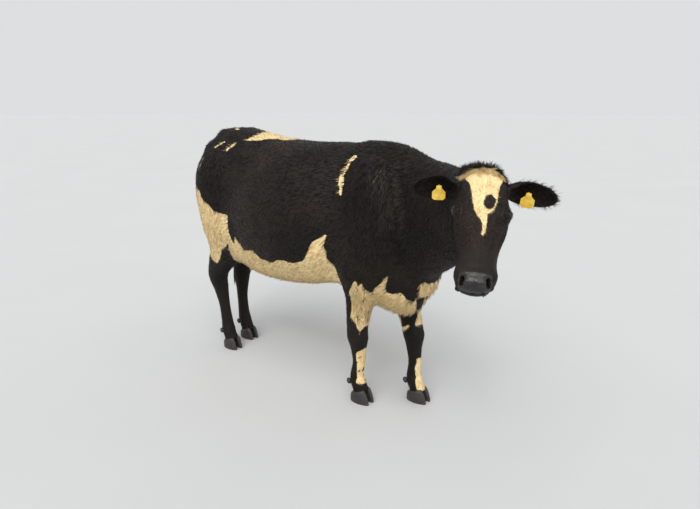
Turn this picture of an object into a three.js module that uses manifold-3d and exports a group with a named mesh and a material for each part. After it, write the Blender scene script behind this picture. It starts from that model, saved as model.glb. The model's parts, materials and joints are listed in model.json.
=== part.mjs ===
// A Friesian cow without horns, standing square with its head turned to its right, at life size.
// Millimetres: +X towards the brisket, +Y to the cow's left, +Z up, with the origin on the floor
// under the middle of the cow's box.
//
// The flesh is one smooth field, built from lofts along the bones and rounded off by swellings and
// hollows. Each named part is the piece of that field inside its own cutter, so neighbours share the
// same surface and are parted by a thin cut. Eyes, claws, dew claws, teats, ears and tags are solids
// of their own.

import * as THREE from 'three';
import { ConvexGeometry } from 'three/addons/geometries/ConvexGeometry.js';
import { mergeVertices } from 'three/addons/utils/BufferGeometryUtils.js';
import Module from 'manifold-3d';

const wasm = await Module();
wasm.setup();

const CUT = 1.5; // width of the cut between two parts
const SIDES = { left: 1, right: -1 };

const BLACK_COAT = coat(0x17130f);
const WHITE_COAT = coat(0xd9c9a6);
const HORN = new THREE.MeshStandardMaterial({ color: 0x2b2723, roughness: 0.55, metalness: 0 });
const EYE = new THREE.MeshStandardMaterial({ color: 0x0c0807, roughness: 0.08, metalness: 0 });
const TEAT_SKIN = new THREE.MeshStandardMaterial({ color: 0xb98f78, roughness: 0.6, metalness: 0 });
const TAG_PLASTIC = new THREE.MeshStandardMaterial({ color: 0xe2b32a, roughness: 0.45, metalness: 0 });

function coat(color) {
  return new THREE.MeshStandardMaterial({ color, roughness: 0.75, metalness: 0 });
}

// ---------------------------------------------------------------------------------- frames

const ORIGIN = new THREE.Matrix4();

// A frame at a place, turned by a heading about Z, then pitched nose down and rolled.
function frameAt(place, headingDeg, pitchDeg, rollDeg) {
  const turn = new THREE.Euler(
    THREE.MathUtils.degToRad(rollDeg),
    THREE.MathUtils.degToRad(pitchDeg),
    THREE.MathUtils.degToRad(headingDeg),
    'ZYX',
  );
  return new THREE.Matrix4().makeRotationFromEuler(turn).setPosition(...place);
}

// The head's frame: X runs from the poll to the nose along the face, Z out of the forehead.
const HEAD = frameAt([1255, -378, 1366], -64.6, 37, -4.1);

// ---------------------------------------------------------------------------------- lofts

// A ring of a loft: its centre, its half width, its height above and depth below the centre, and the
// power of its outline, 2 for an ellipse and more for a squarer one.
function ring(x, y, z, side, over, under, power = 2) {
  return { centre: new THREE.Vector3(x, y, z), radii: new THREE.Vector3(side, over, under), power };
}

const LOFT_STEPS = 4; // samples between two rings
const FAR_OFF = 140; // past this a distance need only be a rough one

// Rings joined by smooth curves, with each sample's own side and up directions.
function loft(rings, { frame = ORIGIN, up = [0, 0, 1], cap = 0.6 } = {}) {
  const centres = new THREE.CatmullRomCurve3(rings.map((r) => r.centre), false, 'catmullrom', 0.5);
  const radii = new THREE.CatmullRomCurve3(rings.map((r) => r.radii), false, 'catmullrom', 0.5);
  const count = (rings.length - 1) * LOFT_STEPS;
  const upward = new THREE.Vector3(...up);
  const samples = [];
  for (let i = 0; i <= count; i += 1) {
    const t = i / count;
    const along = centres.getTangent(t);
    const side = upward.clone().cross(along).normalize();
    const place = Math.min(Math.floor(i / LOFT_STEPS), rings.length - 2);
    const share = i / LOFT_STEPS - place;
    samples.push({
      centre: centres.getPoint(t).applyMatrix4(frame),
      along: along.clone().transformDirection(frame),
      side: side.clone().transformDirection(frame),
      over: along.cross(side).normalize().transformDirection(frame),
      radii: radii.getPoint(t),
      power: THREE.MathUtils.lerp(rings[place].power, rings[place + 1].power, share),
    });
  }
  return { samples, cap, reach: reachOf(samples) };
}

function reachOf(samples) {
  const box = new THREE.Box3();
  for (const s of samples) {
    box.union(new THREE.Box3().setFromCenterAndSize(
      s.centre,
      new THREE.Vector3().setScalar(2 * Math.max(s.radii.x, s.radii.y, s.radii.z)),
    ));
  }
  return box.getBoundingSphere(new THREE.Sphere());
}

// About how far a point is from a loft's skin, less than nothing inside.
function loftDistance(shape, p) {
  const far = p.distanceTo(shape.reach.center) - shape.reach.radius;
  if (far > FAR_OFF) return far;
  const { samples, cap } = shape;
  let best = Infinity;
  let at = 0;
  let share = 0;
  for (let i = 0; i + 1 < samples.length; i += 1) {
    const a = samples[i].centre;
    const b = samples[i + 1].centre;
    const abx = b.x - a.x;
    const aby = b.y - a.y;
    const abz = b.z - a.z;
    const t = THREE.MathUtils.clamp(
      ((p.x - a.x) * abx + (p.y - a.y) * aby + (p.z - a.z) * abz) / (abx * abx + aby * aby + abz * abz),
      0,
      1,
    );
    const d = Math.hypot(p.x - a.x - abx * t, p.y - a.y - aby * t, p.z - a.z - abz * t);
    if (d < best) [best, at, share] = [d, i, t];
  }
  const a = samples[at];
  const b = samples[at + 1];
  const mix = (u, v) => u + (v - u) * share;
  const offset = new THREE.Vector3().lerpVectors(a.centre, b.centre, share).sub(p).negate();
  const across = mix(offset.dot(a.side), offset.dot(b.side));
  const height = mix(offset.dot(a.over), offset.dot(b.over));
  const past = mix(offset.dot(a.along), offset.dot(b.along));
  const width = mix(a.radii.x, b.radii.x);
  const rise = height > 0 ? mix(a.radii.y, b.radii.y) : mix(a.radii.z, b.radii.z);
  const power = mix(a.power, b.power);
  const flat = ((Math.abs(across) / width) ** power + (Math.abs(height) / rise) ** power) ** (1 / power);
  const share3 = Math.hypot(flat, past / (cap * Math.min(width, rise)));
  return share3 < 1e-6 ? -Math.min(width, rise) : offset.length() * (1 - 1 / share3);
}

// ---------------------------------------------------------------------------------- the cow's body

// From the buttocks to the brisket: back line, belly line and width.
const TRUNK = loft([
  ring(-792, 0, 1135, 195, 366, 150, 3),
  ring(-720, 0, 1100, 228, 398, 175, 2.8),
  ring(-600, 0, 1055, 240, 422, 255, 2.4),
  ring(-450, 0, 1003, 280, 446, 348, 2.4),
  ring(-300, 0, 958, 335, 467, 378, 2.3),
  ring(-120, 0, 937, 372, 469, 363, 2.2),
  ring(80, 0, 930, 378, 472, 333, 2.2),
  ring(270, 0, 930, 338, 476, 294, 2.2),
  ring(430, 0, 935, 280, 465, 317, 2.1),
  ring(580, 0, 940, 236, 440, 390, 2.1),
  ring(700, 0, 943, 196, 382, 381, 2.1),
  ring(780, 0, 945, 150, 305, 295, 2),
], { cap: 0.4 });

// From the shoulders to the back of the skull, level with the back and bending to the right.
const NECK = loft([
  ring(430, 0, 1085, 150, 300, 360, 2.1),
  ring(560, -4, 1083, 160, 308, 372, 2.1),
  ring(680, -22, 1082, 158, 302, 366, 2.1),
  ring(830, -80, 1092, 140, 266, 300, 2.1),
  ring(960, -160, 1122, 122, 230, 246, 2),
  ring(1075, -252, 1160, 110, 188, 222, 2),
  ring(1170, -335, 1205, 100, 146, 204, 2),
], { cap: 0.8 });

// The skull and muzzle in the head's frame.
const SKULL = loft([
  ring(-20, 0, -82, 66, 52, 78, 2.2),
  ring(30, 0, -80, 88, 76, 90, 2.3),
  ring(100, 0, -84, 100, 86, 104, 2.4),
  ring(190, 0, -88, 100, 84, 106, 2.4),
  ring(262, 0, -88, 87, 72, 90, 2.3),
  ring(325, 0, -86, 76, 62, 70, 2.3),
  ring(395, 0, -86, 70, 54, 54, 2.3),
  ring(450, 0, -88, 74, 52, 46, 2.3),
  ring(482, 0, -92, 67, 46, 40, 2.2),
], { frame: HEAD, cap: 0.7 });

const LOWER_JAW = loft([
  ring(66, 0, -148, 66, 60, 60),
  ring(148, 0, -166, 74, 72, 76),
  ring(235, 0, -158, 73, 60, 78),
  ring(322, 0, -140, 63, 48, 52),
  ring(402, 0, -128, 58, 38, 32),
  ring(458, 0, -128, 60, 30, 22),
  ring(476, 0, -130, 51, 25, 17),
], { frame: HEAD, cap: 0.8 });

// Where each hoof stands, as its middle on the floor.
const FEET = {
  fore_left: [664, 106],
  fore_right: [432, -105],
  hind_left: [-753, 82],
  hind_right: [-700, -105],
};

// A foreleg from the shoulder blade to the coronet. The joints above the foot lie between
// the shoulder and the foot, which may be a step ahead.
function foreleg(side, [footX, footY]) {
  const y = (high, share) => THREE.MathUtils.lerp(side * high, footY, share);
  const x = (high, share) => THREE.MathUtils.lerp(high, footX, share);
  return loft([
    ring(545, side * 140, 1300, 34, 80, 80),
    ring(565, side * 172, 1170, 62, 125, 130),
    ring(605, side * 185, 1000, 80, 140, 150),
    ring(x(555, 0.1), y(185, 0), 840, 84, 128, 145),
    ring(x(512, 0.25), y(175, 0.15), 700, 70, 86, 108),
    ring(x(500, 0.5), y(165, 0.4), 560, 58, 66, 92),
    ring(x(498, 0.8), y(155, 0.65), 430, 51, 49, 82),
    ring(x(502, 0.9), y(150, 0.8), 372, 52, 48, 74, 2.4),
    ring(x(500, 0.93), y(145, 0.9), 305, 41, 37, 56, 2.2),
    ring(x(500, 0.97), y(140, 1), 225, 34, 34, 46),
    ring(footX - 14, footY, 150, 38, 41, 44),
    ring(footX - 8, footY, 118, 45, 46, 49),
    ring(footX + 8, footY, 80, 43, 42, 46),
    ring(footX + 20, footY, 45, 50, 50, 52, 2.3),
  ], { up: [1, 0, 0], cap: 0.6 });
}

// A hind leg from the hip to the coronet, with the hock behind the foot's own line.
function hindleg(side, [footX, footY]) {
  const y = (high, share) => THREE.MathUtils.lerp(side * high, footY, share);
  const x = (high, share) => high + share * (footX + 700);
  return loft([
    ring(-600, side * 120, 1330, 60, 90, 120),
    ring(-620, side * 152, 1210, 112, 165, 195),
    ring(-630, side * 160, 1060, 130, 215, 200),
    ring(-600, y(165, 0), 890, 114, 215, 212),
    ring(-605, y(165, 0.1), 760, 88, 155, 204),
    ring(x(-665, 0.3), y(155, 0.3), 655, 75, 98, 140),
    ring(x(-742, 0.5), y(150, 0.5), 560, 63, 74, 102),
    ring(x(-768, 0.6), y(145, 0.6), 490, 58, 62, 84, 2.3),
    ring(x(-758, 0.75), y(140, 0.75), 410, 48, 50, 62),
    ring(footX - 42, y(140, 0.9), 300, 36, 42, 46),
    ring(footX - 28, footY, 190, 38, 44, 46),
    ring(footX - 18, footY, 128, 45, 50, 50),
    ring(footX + 2, footY, 84, 43, 44, 48),
    ring(footX + 14, footY, 45, 48, 50, 52, 2.3),
  ], { up: [1, 0, 0], cap: 0.6 });
}

const LEGS = Object.fromEntries(Object.entries(FEET).map(([name, foot]) => {
  const [end, sideName] = name.split('_');
  return [name, (end === 'fore' ? foreleg : hindleg)(SIDES[sideName], foot)];
}));

const TAIL = loft([
  ring(-690, 0, 1410, 42, 44, 46),
  ring(-785, 0, 1412, 36, 38, 40),
  ring(-858, 0, 1348, 30, 30, 32),
  ring(-918, 0, 1190, 25, 25, 25),
  ring(-924, 0, 1000, 21, 21, 21),
  ring(-914, -8, 800, 19, 19, 19),
  ring(-902, -14, 660, 24, 24, 24),
  ring(-892, -16, 540, 38, 36, 36),
  ring(-887, -16, 430, 34, 32, 32),
  ring(-884, -16, 350, 12, 12, 12),
], { up: [0, 1, 0], cap: 0.8 });

const UDDER = loft([
  ring(-330, 0, 700, 105, 80, 70),
  ring(-440, 0, 680, 130, 120, 105),
  ring(-550, 0, 690, 125, 130, 118),
  ring(-640, 0, 740, 85, 120, 100),
], { cap: 0.8 });

// Swellings, with a positive height, and hollows, with a negative one: each fades out with distance.
function swelling(x, y, z, height, spanX, spanY, spanZ, frame = ORIGIN) {
  return { into: new THREE.Matrix4().makeTranslation(x, y, z).premultiply(frame).invert(),
    height, span: new THREE.Vector3(spanX, spanY, spanZ) };
}

function pair(x, y, z, ...rest) {
  return Object.values(SIDES).map((side) => swelling(x, side * y, z, ...rest));
}

const FORMS = [
  ...pair(-415, 262, 1345, 44, 75, 60, 60), // hook bones
  ...pair(-785, 150, 1368, 46, 70, 62, 60), // pin bones
  ...pair(-650, 250, 1190, 20, 110, 90, 110), // thurls
  ...pair(-285, 290, 1265, -40, 120, 110, 90), // hollows of the flank
  ...pair(-600, 200, 1410, -20, 90, 55, 55), // between hook and pin
  ...pair(-330, 300, 800, -24, 70, 90, 130), // ahead of the stifle
  ...pair(-420, 262, 850, 20, 80, 70, 110), // stifles
  ...pair(555, 235, 1210, 18, 90, 80, 160), // shoulder blades
  ...pair(735, 190, 975, 26, 80, 70, 80), // points of the shoulders
  ...pair(400, 290, 1100, -16, 60, 90, 160), // behind the shoulder blades
  ...pair(360, 220, 790, -20, 60, 80, 80), // behind the elbows
  ...pair(455, 235, 800, 20, 50, 50, 60), // elbows
  swelling(640, 0, 560, 18, 130, 80, 60), // brisket
];

const FACE_FORMS = [
  ...pair(198, 92, -44, 13, 38, 26, 28, HEAD), // orbits
  ...pair(135, 108, -98, -10, 50, 30, 30, HEAD), // temples
  ...pair(160, 82, -152, 12, 60, 40, 50, HEAD), // cheeks
  ...pair(255, 78, -92, 7, 60, 26, 20, HEAD), // facial crests
  ...pair(345, 60, -52, -5, 60, 26, 30, HEAD), // sides of the nose
  ...pair(458, 54, -58, 10, 24, 24, 22, HEAD), // nostril rims
  ...pair(477, 40, -62, -13, 15, 11, 14, HEAD), // nostrils
  ...pair(422, 64, -112, -6, 65, 26, 9, HEAD), // corners of the mouth
  swelling(492, 0, -112, -9, 26, 60, 9, HEAD), // mouth
  swelling(468, 0, -146, 8, 26, 36, 20, HEAD), // chin
  swelling(20, 0, -6, 16, 40, 52, 30, HEAD), // poll
  swelling(195, 0, 0, -7, 60, 42, 30, HEAD), // dish of the forehead
];

// The smooth join of two distances, rounded over about `round`.
function joined(a, b, round) {
  const near = Math.max(round - Math.abs(a - b), 0) / round;
  return Math.min(a, b) - near * near * round * 0.25;
}

// About how far a point is from the whole cow's skin, coat and all.
function flesh(p) {
  let d = loftDistance(TRUNK, p);
  d = joined(d, loftDistance(NECK, p), 120);
  for (const leg of Object.values(LEGS)) d = joined(d, loftDistance(leg, p), 80);
  d = joined(d, loftDistance(UDDER, p), 50);
  d = joined(d, loftDistance(TAIL, p), 22);
  const head = joined(loftDistance(SKULL, p), loftDistance(LOWER_JAW, p), 26) - swell(FACE_FORMS, p);
  return joined(d, head, 70) - swell(FORMS, p);
}

const local = new THREE.Vector3();
function swell(forms, p) {
  let sum = 0;
  for (const { into, height, span } of forms) {
    const q = local.copy(p).applyMatrix4(into).divide(span).lengthSq();
    if (q < 12) sum += height * Math.exp(-q);
  }
  return sum;
}

// ---------------------------------------------------------------------------------- field to mesh

const GRADIENT_STEP = 2;
const SETTLE_ROUNDS = 3;

// The field's slope at a point.
function slopeAt(field, p) {
  const slope = new THREE.Vector3();
  for (const axis of ['x', 'y', 'z']) {
    const ahead = p.clone();
    const behind = p.clone();
    ahead[axis] += GRADIENT_STEP;
    behind[axis] -= GRADIENT_STEP;
    slope[axis] = (field(ahead) - field(behind)) / (2 * GRADIENT_STEP);
  }
  return slope;
}

// The surface of a field inside a box, as squares of about one cell: one vertex for each cell that the
// surface crosses, and one square for each edge between two cells.
function meshOf(field, box, cell) {
  const size = box.getSize(new THREE.Vector3()).divideScalar(cell).ceil();
  const [nx, ny, nz] = size.toArray().map((n) => n + 1);
  const index = (i, j, k) => (k * ny + j) * nx + i;
  const corner = (i, j, k) => new THREE.Vector3(i, j, k).multiplyScalar(cell).add(box.min);
  const onEdge = (i, j, k) => !i || !j || !k || i === nx - 1 || j === ny - 1 || k === nz - 1;
  const value = new Float32Array(nx * ny * nz);
  for (let k = 0; k < nz; k += 1) {
    for (let j = 0; j < ny; j += 1) {
      for (let i = 0; i < nx; i += 1) {
        value[index(i, j, k)] = onEdge(i, j, k) ? cell : field(corner(i, j, k));
      }
    }
  }
  const places = [];
  const vertexOf = new Map();
  const steps = [[1, 0, 0], [0, 1, 0], [0, 0, 1]];
  const cellVertex = (i, j, k) => {
    const key = index(i, j, k);
    if (vertexOf.has(key)) return vertexOf.get(key);
    const sum = new THREE.Vector3();
    let count = 0;
    for (let c = 0; c < 8; c += 1) {
      const from = [i + (c & 1), j + ((c >> 1) & 1), k + ((c >> 2) & 1)];
      steps.forEach((step, axis) => {
        if (from[axis] !== [i, j, k][axis]) return;
        const to = from.map((n, m) => n + step[m]);
        const a = value[index(...from)];
        const b = value[index(...to)];
        if (a < 0 === b < 0) return;
        sum.add(corner(...from).lerp(corner(...to), a / (a - b)));
        count += 1;
      });
    }
    vertexOf.set(key, places.length);
    places.push(sum.divideScalar(count));
    return places.length - 1;
  };
  const faces = [];
  for (let k = 0; k < nz - 1; k += 1) {
    for (let j = 0; j < ny - 1; j += 1) {
      for (let i = 0; i < nx - 1; i += 1) {
        const here = value[index(i, j, k)] < 0;
        steps.forEach((step, axis) => {
          if (here === value[index(i + step[0], j + step[1], k + step[2])] < 0) return;
          const [u, v] = [steps[(axis + 1) % 3], steps[(axis + 2) % 3]];
          const around = [[0, 0], [1, 0], [1, 1], [0, 1]].map(([a, b]) => cellVertex(
            i - a * u[0] - b * v[0],
            j - a * u[1] - b * v[1],
            k - a * u[2] - b * v[2],
          ));
          if (here) around.reverse();
          faces.push(around);
        });
      }
    }
  }
  for (let round = 0; round < SETTLE_ROUNDS; round += 1) {
    for (const p of places) {
      const slope = slopeAt(field, p);
      const reach = THREE.MathUtils.clamp(field(p) / Math.max(slope.lengthSq(), 0.2), -cell / 3, cell / 3);
      p.addScaledVector(slope, -reach);
    }
  }
  const position = places.flatMap((p) => p.toArray());
  const triangles = faces.flatMap(([a, b, c, d]) => (
    places[a].distanceTo(places[c]) < places[b].distanceTo(places[d])
      ? [a, c, b, a, d, c]
      : [a, d, b, b, d, c]));
  return new THREE.BufferGeometry()
    .setAttribute('position', new THREE.Float32BufferAttribute(position, 3))
    .setIndex(triangles);
}

// ---------------------------------------------------------------------------------- solids

// A geometry's corners and triangles, with corners closer than a merge distance made one.
function meldedMesh(geometry, merge) {
  const bare = geometry.clone();
  bare.deleteAttribute('normal');
  bare.deleteAttribute('uv');
  const merged = mergeVertices(bare, merge);
  const corners = merged.index.array;
  const triangles = [];
  for (let i = 0; i < corners.length; i += 3) {
    const [a, b, c] = corners.slice(i, i + 3);
    if (a !== b && b !== c && c !== a) triangles.push(a, b, c);
  }
  return { position: new Float32Array(merged.attributes.position.array), triangles: new Uint32Array(triangles) };
}

function solidOf(geometry, matrix = ORIGIN) {
  const { position, triangles } = meldedMesh(geometry.clone().applyMatrix4(matrix), 1e-3);
  return new wasm.Manifold(new wasm.Mesh({ numProp: 3, vertProperties: position, triVerts: triangles }));
}

const MELDS = [1e-3, 0.01, 0.05, 0.1, 0.2, 0.3];

// A solid without the finest edges that a cut leaves, and with just two triangles at each edge.
function closedUp(solid) {
  for (const merge of MELDS) {
    const { position, triangles } = meldedMesh(geometryOf(solid), merge);
    const uses = new Map();
    for (let i = 0; i < triangles.length; i += 1) {
      const [a, b] = [triangles[i], triangles[i % 3 === 2 ? i - 2 : i + 1]];
      const key = a < b ? `${a} ${b}` : `${b} ${a}`;
      uses.set(key, (uses.get(key) ?? 0) + 1);
    }
    if ([...uses.values()].every((count) => count === 2)) {
      return new wasm.Manifold(new wasm.Mesh({ numProp: 3, vertProperties: position, triVerts: triangles }));
    }
  }
  return null;
}

function geometryOf(solid) {
  const { vertProperties, triVerts, numProp } = solid.getMesh();
  const position = new Float32Array(vertProperties.length / numProp * 3);
  for (let i = 0; i < position.length / 3; i += 1) {
    position.set(vertProperties.subarray(i * numProp, i * numProp + 3), i * 3);
  }
  return new THREE.BufferGeometry()
    .setAttribute('position', new THREE.BufferAttribute(position, 3))
    .setIndex(new THREE.BufferAttribute(new Uint32Array(triVerts), 1));
}

// The largest piece of a solid, without the crumbs that a cut may leave.
function mainPiece(solid) {
  return solid.decompose().reduce((a, b) => (a.volume() > b.volume() ? a : b));
}

// An ellipsoid from its middle and half sizes.
function ball(place, halves, matrix = ORIGIN, [around, down] = [20, 14]) {
  const shape = new THREE.SphereGeometry(1, around, down).rotateX(Math.PI / 2);
  return solidOf(shape.scale(...halves).translate(...place), matrix);
}

// One side of a plane: the side that its normal points to.
function sideOf(place, normal, frame = ORIGIN) {
  const turn = new THREE.Quaternion().setFromUnitVectors(
    new THREE.Vector3(0, 0, 1),
    new THREE.Vector3(...normal).normalize(),
  );
  const onto = new THREE.Matrix4().compose(new THREE.Vector3(...place), turn, new THREE.Vector3(1, 1, 1));
  return solidOf(new THREE.BoxGeometry(5000, 5000, 3000).translate(0, 0, 1500), onto.premultiply(frame));
}

// A box between two corners.
function block(low, high) {
  const box = new THREE.Box3(new THREE.Vector3(...low), new THREE.Vector3(...high));
  const size = box.getSize(new THREE.Vector3());
  return solidOf(new THREE.BoxGeometry(...size).translate(...box.getCenter(new THREE.Vector3())));
}

// The solid that balls span, each given as its middle and half sizes, all grown by the same amount.
function spanned(balls, grow = 0) {
  const points = balls.flatMap(([place, halves]) => {
    const shape = new THREE.SphereGeometry(1, 12, 7).rotateX(Math.PI / 2);
    const { position } = shape.scale(...halves.map((h) => h + grow)).translate(...place).attributes;
    return Array.from({ length: position.count }, (_, i) => new THREE.Vector3().fromBufferAttribute(position, i));
  });
  return solidOf(new ConvexGeometry(points));
}

const MERGE = 0.9; // after a cut, corners nearer to a flat than this are merged
const EASE = 0.14; // before it, corners this share of a cell from a flat
const CELL_TRIES = [1, 0.97, 1.03, 0.94, 1.06, 0.91];

// The piece of the cow's flesh inside a cutter, faceted at about the size of a cell. Where two folds
// share a cell the mesh doesn't close, and a slightly different cell parts them.
function fleshIn(cutter, cell, low, high) {
  const box = new THREE.Box3(new THREE.Vector3(...low), new THREE.Vector3(...high));
  for (const size of CELL_TRIES) {
    try {
      const piece = mainPiece(solidOf(meshOf(flesh, box, cell * size)).simplify(EASE * cell).intersect(cutter).simplify(MERGE));
      if (closedUp(piece)) return piece;
    } catch (error) {
      if (error.code !== 'NotManifold') throw error;
    }
  }
  throw new Error(`no cell near ${cell} mm closes`);
}

// A loft's own skin as a solid, with a ring of points at each sample.
function loftSolid(shape, around = 10) {
  const samples = shape.samples.filter((_, i) => i % LOFT_STEPS === 0);
  const position = [];
  const triangles = [];
  for (const s of samples) {
    for (let k = 0; k < around; k += 1) {
      const angle = (2 * Math.PI * k) / around;
      const across = Math.cos(angle) * s.radii.x;
      const height = Math.sin(angle) * (Math.sin(angle) > 0 ? s.radii.y : s.radii.z);
      position.push(...s.centre.clone().addScaledVector(s.side, across).addScaledVector(s.over, height));
    }
  }
  const last = samples.length - 1;
  for (let i = 0; i < last; i += 1) {
    for (let k = 0; k < around; k += 1) {
      const a = i * around + k;
      const b = i * around + ((k + 1) % around);
      triangles.push(a, b, b + around, a, b + around, a + around);
    }
  }
  for (let k = 1; k + 1 < around; k += 1) {
    triangles.push(0, k + 1, k, last * around, last * around + k, last * around + k + 1);
  }
  return solidOf(new THREE.BufferGeometry()
    .setAttribute('position', new THREE.Float32BufferAttribute(position, 3))
    .setIndex(triangles));
}

// ---------------------------------------------------------------------------------- parts

const parts = []; // each part's name, solid and material, in the body's frame

function add(name, solid, material) {
  const closed = closedUp(solid);
  if (!closed) throw new Error(`${name} doesn't close`);
  parts.push({ name, solid: closed, material });
}

// ---- eyes, ears and tags, built in the head's frame for the left and mirrored to the right

const EYE_RADIUS = 21;
const EYE_PLACE = [197, 83, -45];
const EAR_ROOT = [50, 82, -74];
const EAR_TIP = [62, 250, -76];
const EAR_OPENS = [0.85, 0, 0.35];
const EAR_WALL = 9;
const TAG_PLACE = [82, -16]; // the pin's distance from the ear's root, and below the ear's middle
const TAG_SIZE = [50, 56, 2.6];
const PIN_RADIUS = 4;

// A frame whose X runs from one place to another and whose Z leans towards a hint.
function frameAlong(from, to, hint) {
  const origin = new THREE.Vector3(...from);
  const x = new THREE.Vector3(...to).sub(origin).normalize();
  const y = new THREE.Vector3(...hint).cross(x).normalize();
  return new THREE.Matrix4().makeBasis(x, y, x.clone().cross(y)).setPosition(origin);
}

const EAR = frameAlong(EAR_ROOT, EAR_TIP, EAR_OPENS);

// The ear's outer shell, grown by a little for the socket it sits in.
function earShell(grow = 0) {
  const swollen = ([x, y, z, side, over, under]) => ring(x, y, z, side + grow, over + grow, under + grow);
  return loftSolid(loft([
    [-24 - grow, 0, -2, 22, 20, 20],
    [8, 0, -1, 30, 26, 27],
    [40, 1, 0, 42, 22, 27],
    [82, 2, 0, 49, 16, 24],
    [120, -1, -2, 45, 11, 19],
    [152, -4, -2, 37, 8, 13],
    [174, -6, 0, 24, 5, 8],
    [185, -7, 1, 8, 3, 3],
  ].map(swollen), { frame: EAR }));
}

function earHollow() {
  return loftSolid(loft([
    [24, 3, 8, 16, 30, 10],
    [46, 2, 4, 34, 34, 20 - EAR_WALL / 2],
    [84, 2, 2, 42, 34, 25 - EAR_WALL],
    [120, -1, 0, 38, 34, 20 - EAR_WALL],
    [148, -4, 0, 30, 34, 13 - EAR_WALL / 2],
    [168, -6, 2, 16, 30, 5],
  ].map((r) => ring(...r)), { frame: EAR }), 8);
}

// A tag's flag lies in the ear's hollow and its pin goes through to a button on the back.
function tagPin(grow = 0) {
  const radius = PIN_RADIUS + grow;
  const pin = new THREE.CylinderGeometry(radius, radius, 58, 8).rotateX(Math.PI / 2);
  return solidOf(pin.translate(TAG_PLACE[0], TAG_PLACE[1] + 18, -8), EAR);
}

function tag() {
  const [wide, high, thick] = TAG_SIZE;
  const outline = new THREE.Shape([
    [-wide / 2, -high / 2 + 8], [-wide / 2 + 8, -high / 2], [wide / 2 - 8, -high / 2], [wide / 2, -high / 2 + 8],
    [wide / 2, 4], [11, high / 2 - 10], [9, high / 2 + 2], [-9, high / 2 + 2], [-11, high / 2 - 10],
    [-wide / 2, 4],
  ].map(([x, y]) => new THREE.Vector2(x, y)));
  const flag = new THREE.ExtrudeGeometry(outline, { depth: thick, bevelEnabled: false })
    .translate(TAG_PLACE[0], TAG_PLACE[1], 18.5);
  const button = new THREE.CylinderGeometry(13, 14, 4, 10).rotateX(Math.PI / 2)
    .translate(TAG_PLACE[0], TAG_PLACE[1] + 18, -36);
  const boss = new THREE.CylinderGeometry(9, 11, 5, 8).rotateX(Math.PI / 2)
    .translate(TAG_PLACE[0], TAG_PLACE[1] + 18, 21.5);
  return tagPin().add(solidOf(flag, EAR)).add(solidOf(button, EAR)).add(solidOf(boss, EAR));
}

const headSockets = [];
for (const [sideName, side] of Object.entries(SIDES)) {
  const placed = (solid) => (side > 0 ? solid : solid.mirror([0, 1, 0])).transform(HEAD.toArray());
  const eye = (grow) => ball(EYE_PLACE, [1, 1, 1].map(() => EYE_RADIUS + grow), ORIGIN, [10, 7]);
  add(`${sideName}_eye`, placed(eye(0)), EYE);
  add(`${sideName}_ear`, placed(mainPiece(earShell().subtract(earHollow()).subtract(tagPin(CUT))).simplify(MERGE)), BLACK_COAT);
  add(`${sideName}_ear_tag`, placed(tag()), TAG_PLASTIC);
  headSockets.push(placed(eye(CUT)), placed(earShell(1.4 * CUT)));
}

// ---- head, neck and trunk

const HEAD_CUT = { place: [-30, 0, 0], normal: [0.863, 0, 0.509] }; // behind the poll and the jaw
const NECK_CUT = { place: [812, -60, 1000], normal: [0.92, -0.2, 0.33] }; // before the shoulders

const shifted = ({ place, normal }, by) => {
  const length = Math.hypot(...normal);
  return place.map((v, axis) => v + (normal[axis] / length) * by);
};
const backOf = (cut, frame) => sideOf(shifted(cut, -CUT / 2), cut.normal.map((v) => -v), frame);
const frontOf = (cut, frame) => sideOf(shifted(cut, CUT / 2), cut.normal, frame);

let head = fleshIn(frontOf(HEAD_CUT, HEAD), 28, [1060, -900, 880], [1600, -180, 1480]);
for (const socket of headSockets) head = mainPiece(head.subtract(socket));
add('head', head.simplify(MERGE), BLACK_COAT);
add('neck', fleshIn(
  backOf(HEAD_CUT, HEAD).intersect(frontOf(NECK_CUT)),
  46,
  [600, -560, 480],
  [1420, 260, 1520],
), BLACK_COAT);

// ---- legs

const CORONET = 60; // the coronet's height over the middle of the foot
const CORONET_SLOPE = 0.28; // its rise towards the toe
const HOCK_CUT = 462;
const KNEE_CUT = 345;
const LEG_REACH = 150;

// The space that an upper leg fills in the trunk, grown by a little for the trunk's own cut.
function legSpace(end, side, footX, grow = 0) {
  return end === 'fore'
    ? spanned([
      [[575, side * 192, 800], [152, 118, 130]],
      [[THREE.MathUtils.lerp(500, footX, 0.9), side * 125, 380], [110, 95, 60]],
    ], grow)
    : spanned([
      [[-650, side * 205, 900], [212, 180, 175]],
      [[-745, side * 150, 480], [150, 118, 60]],
    ], grow);
}

// A claw under the coronet, from its outline on the floor and its outline at the coronet.
function claw(footX, footY, out) {
  const points = [];
  const outline = (heelX, toeX, halfWidth, heightAt) => {
    for (let k = 0; k < 10; k += 1) {
      const angle = (2 * Math.PI * k) / 10;
      const round = (v) => Math.sign(v) * Math.abs(v) ** 0.8;
      const x = (heelX + toeX) / 2 + ((toeX - heelX) / 2) * round(Math.cos(angle));
      const y = out * (halfWidth + 3) + halfWidth * round(Math.sin(angle));
      points.push(new THREE.Vector3(footX + x, footY + y, heightAt(x)));
    }
  };
  outline(-36, 82, 21.5, () => 0);
  outline(-39, 86, 23, () => 5);
  outline(-36, 62, 22, (x) => CORONET - CUT + CORONET_SLOPE * (x - 10));
  return solidOf(new ConvexGeometry(points));
}

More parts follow.
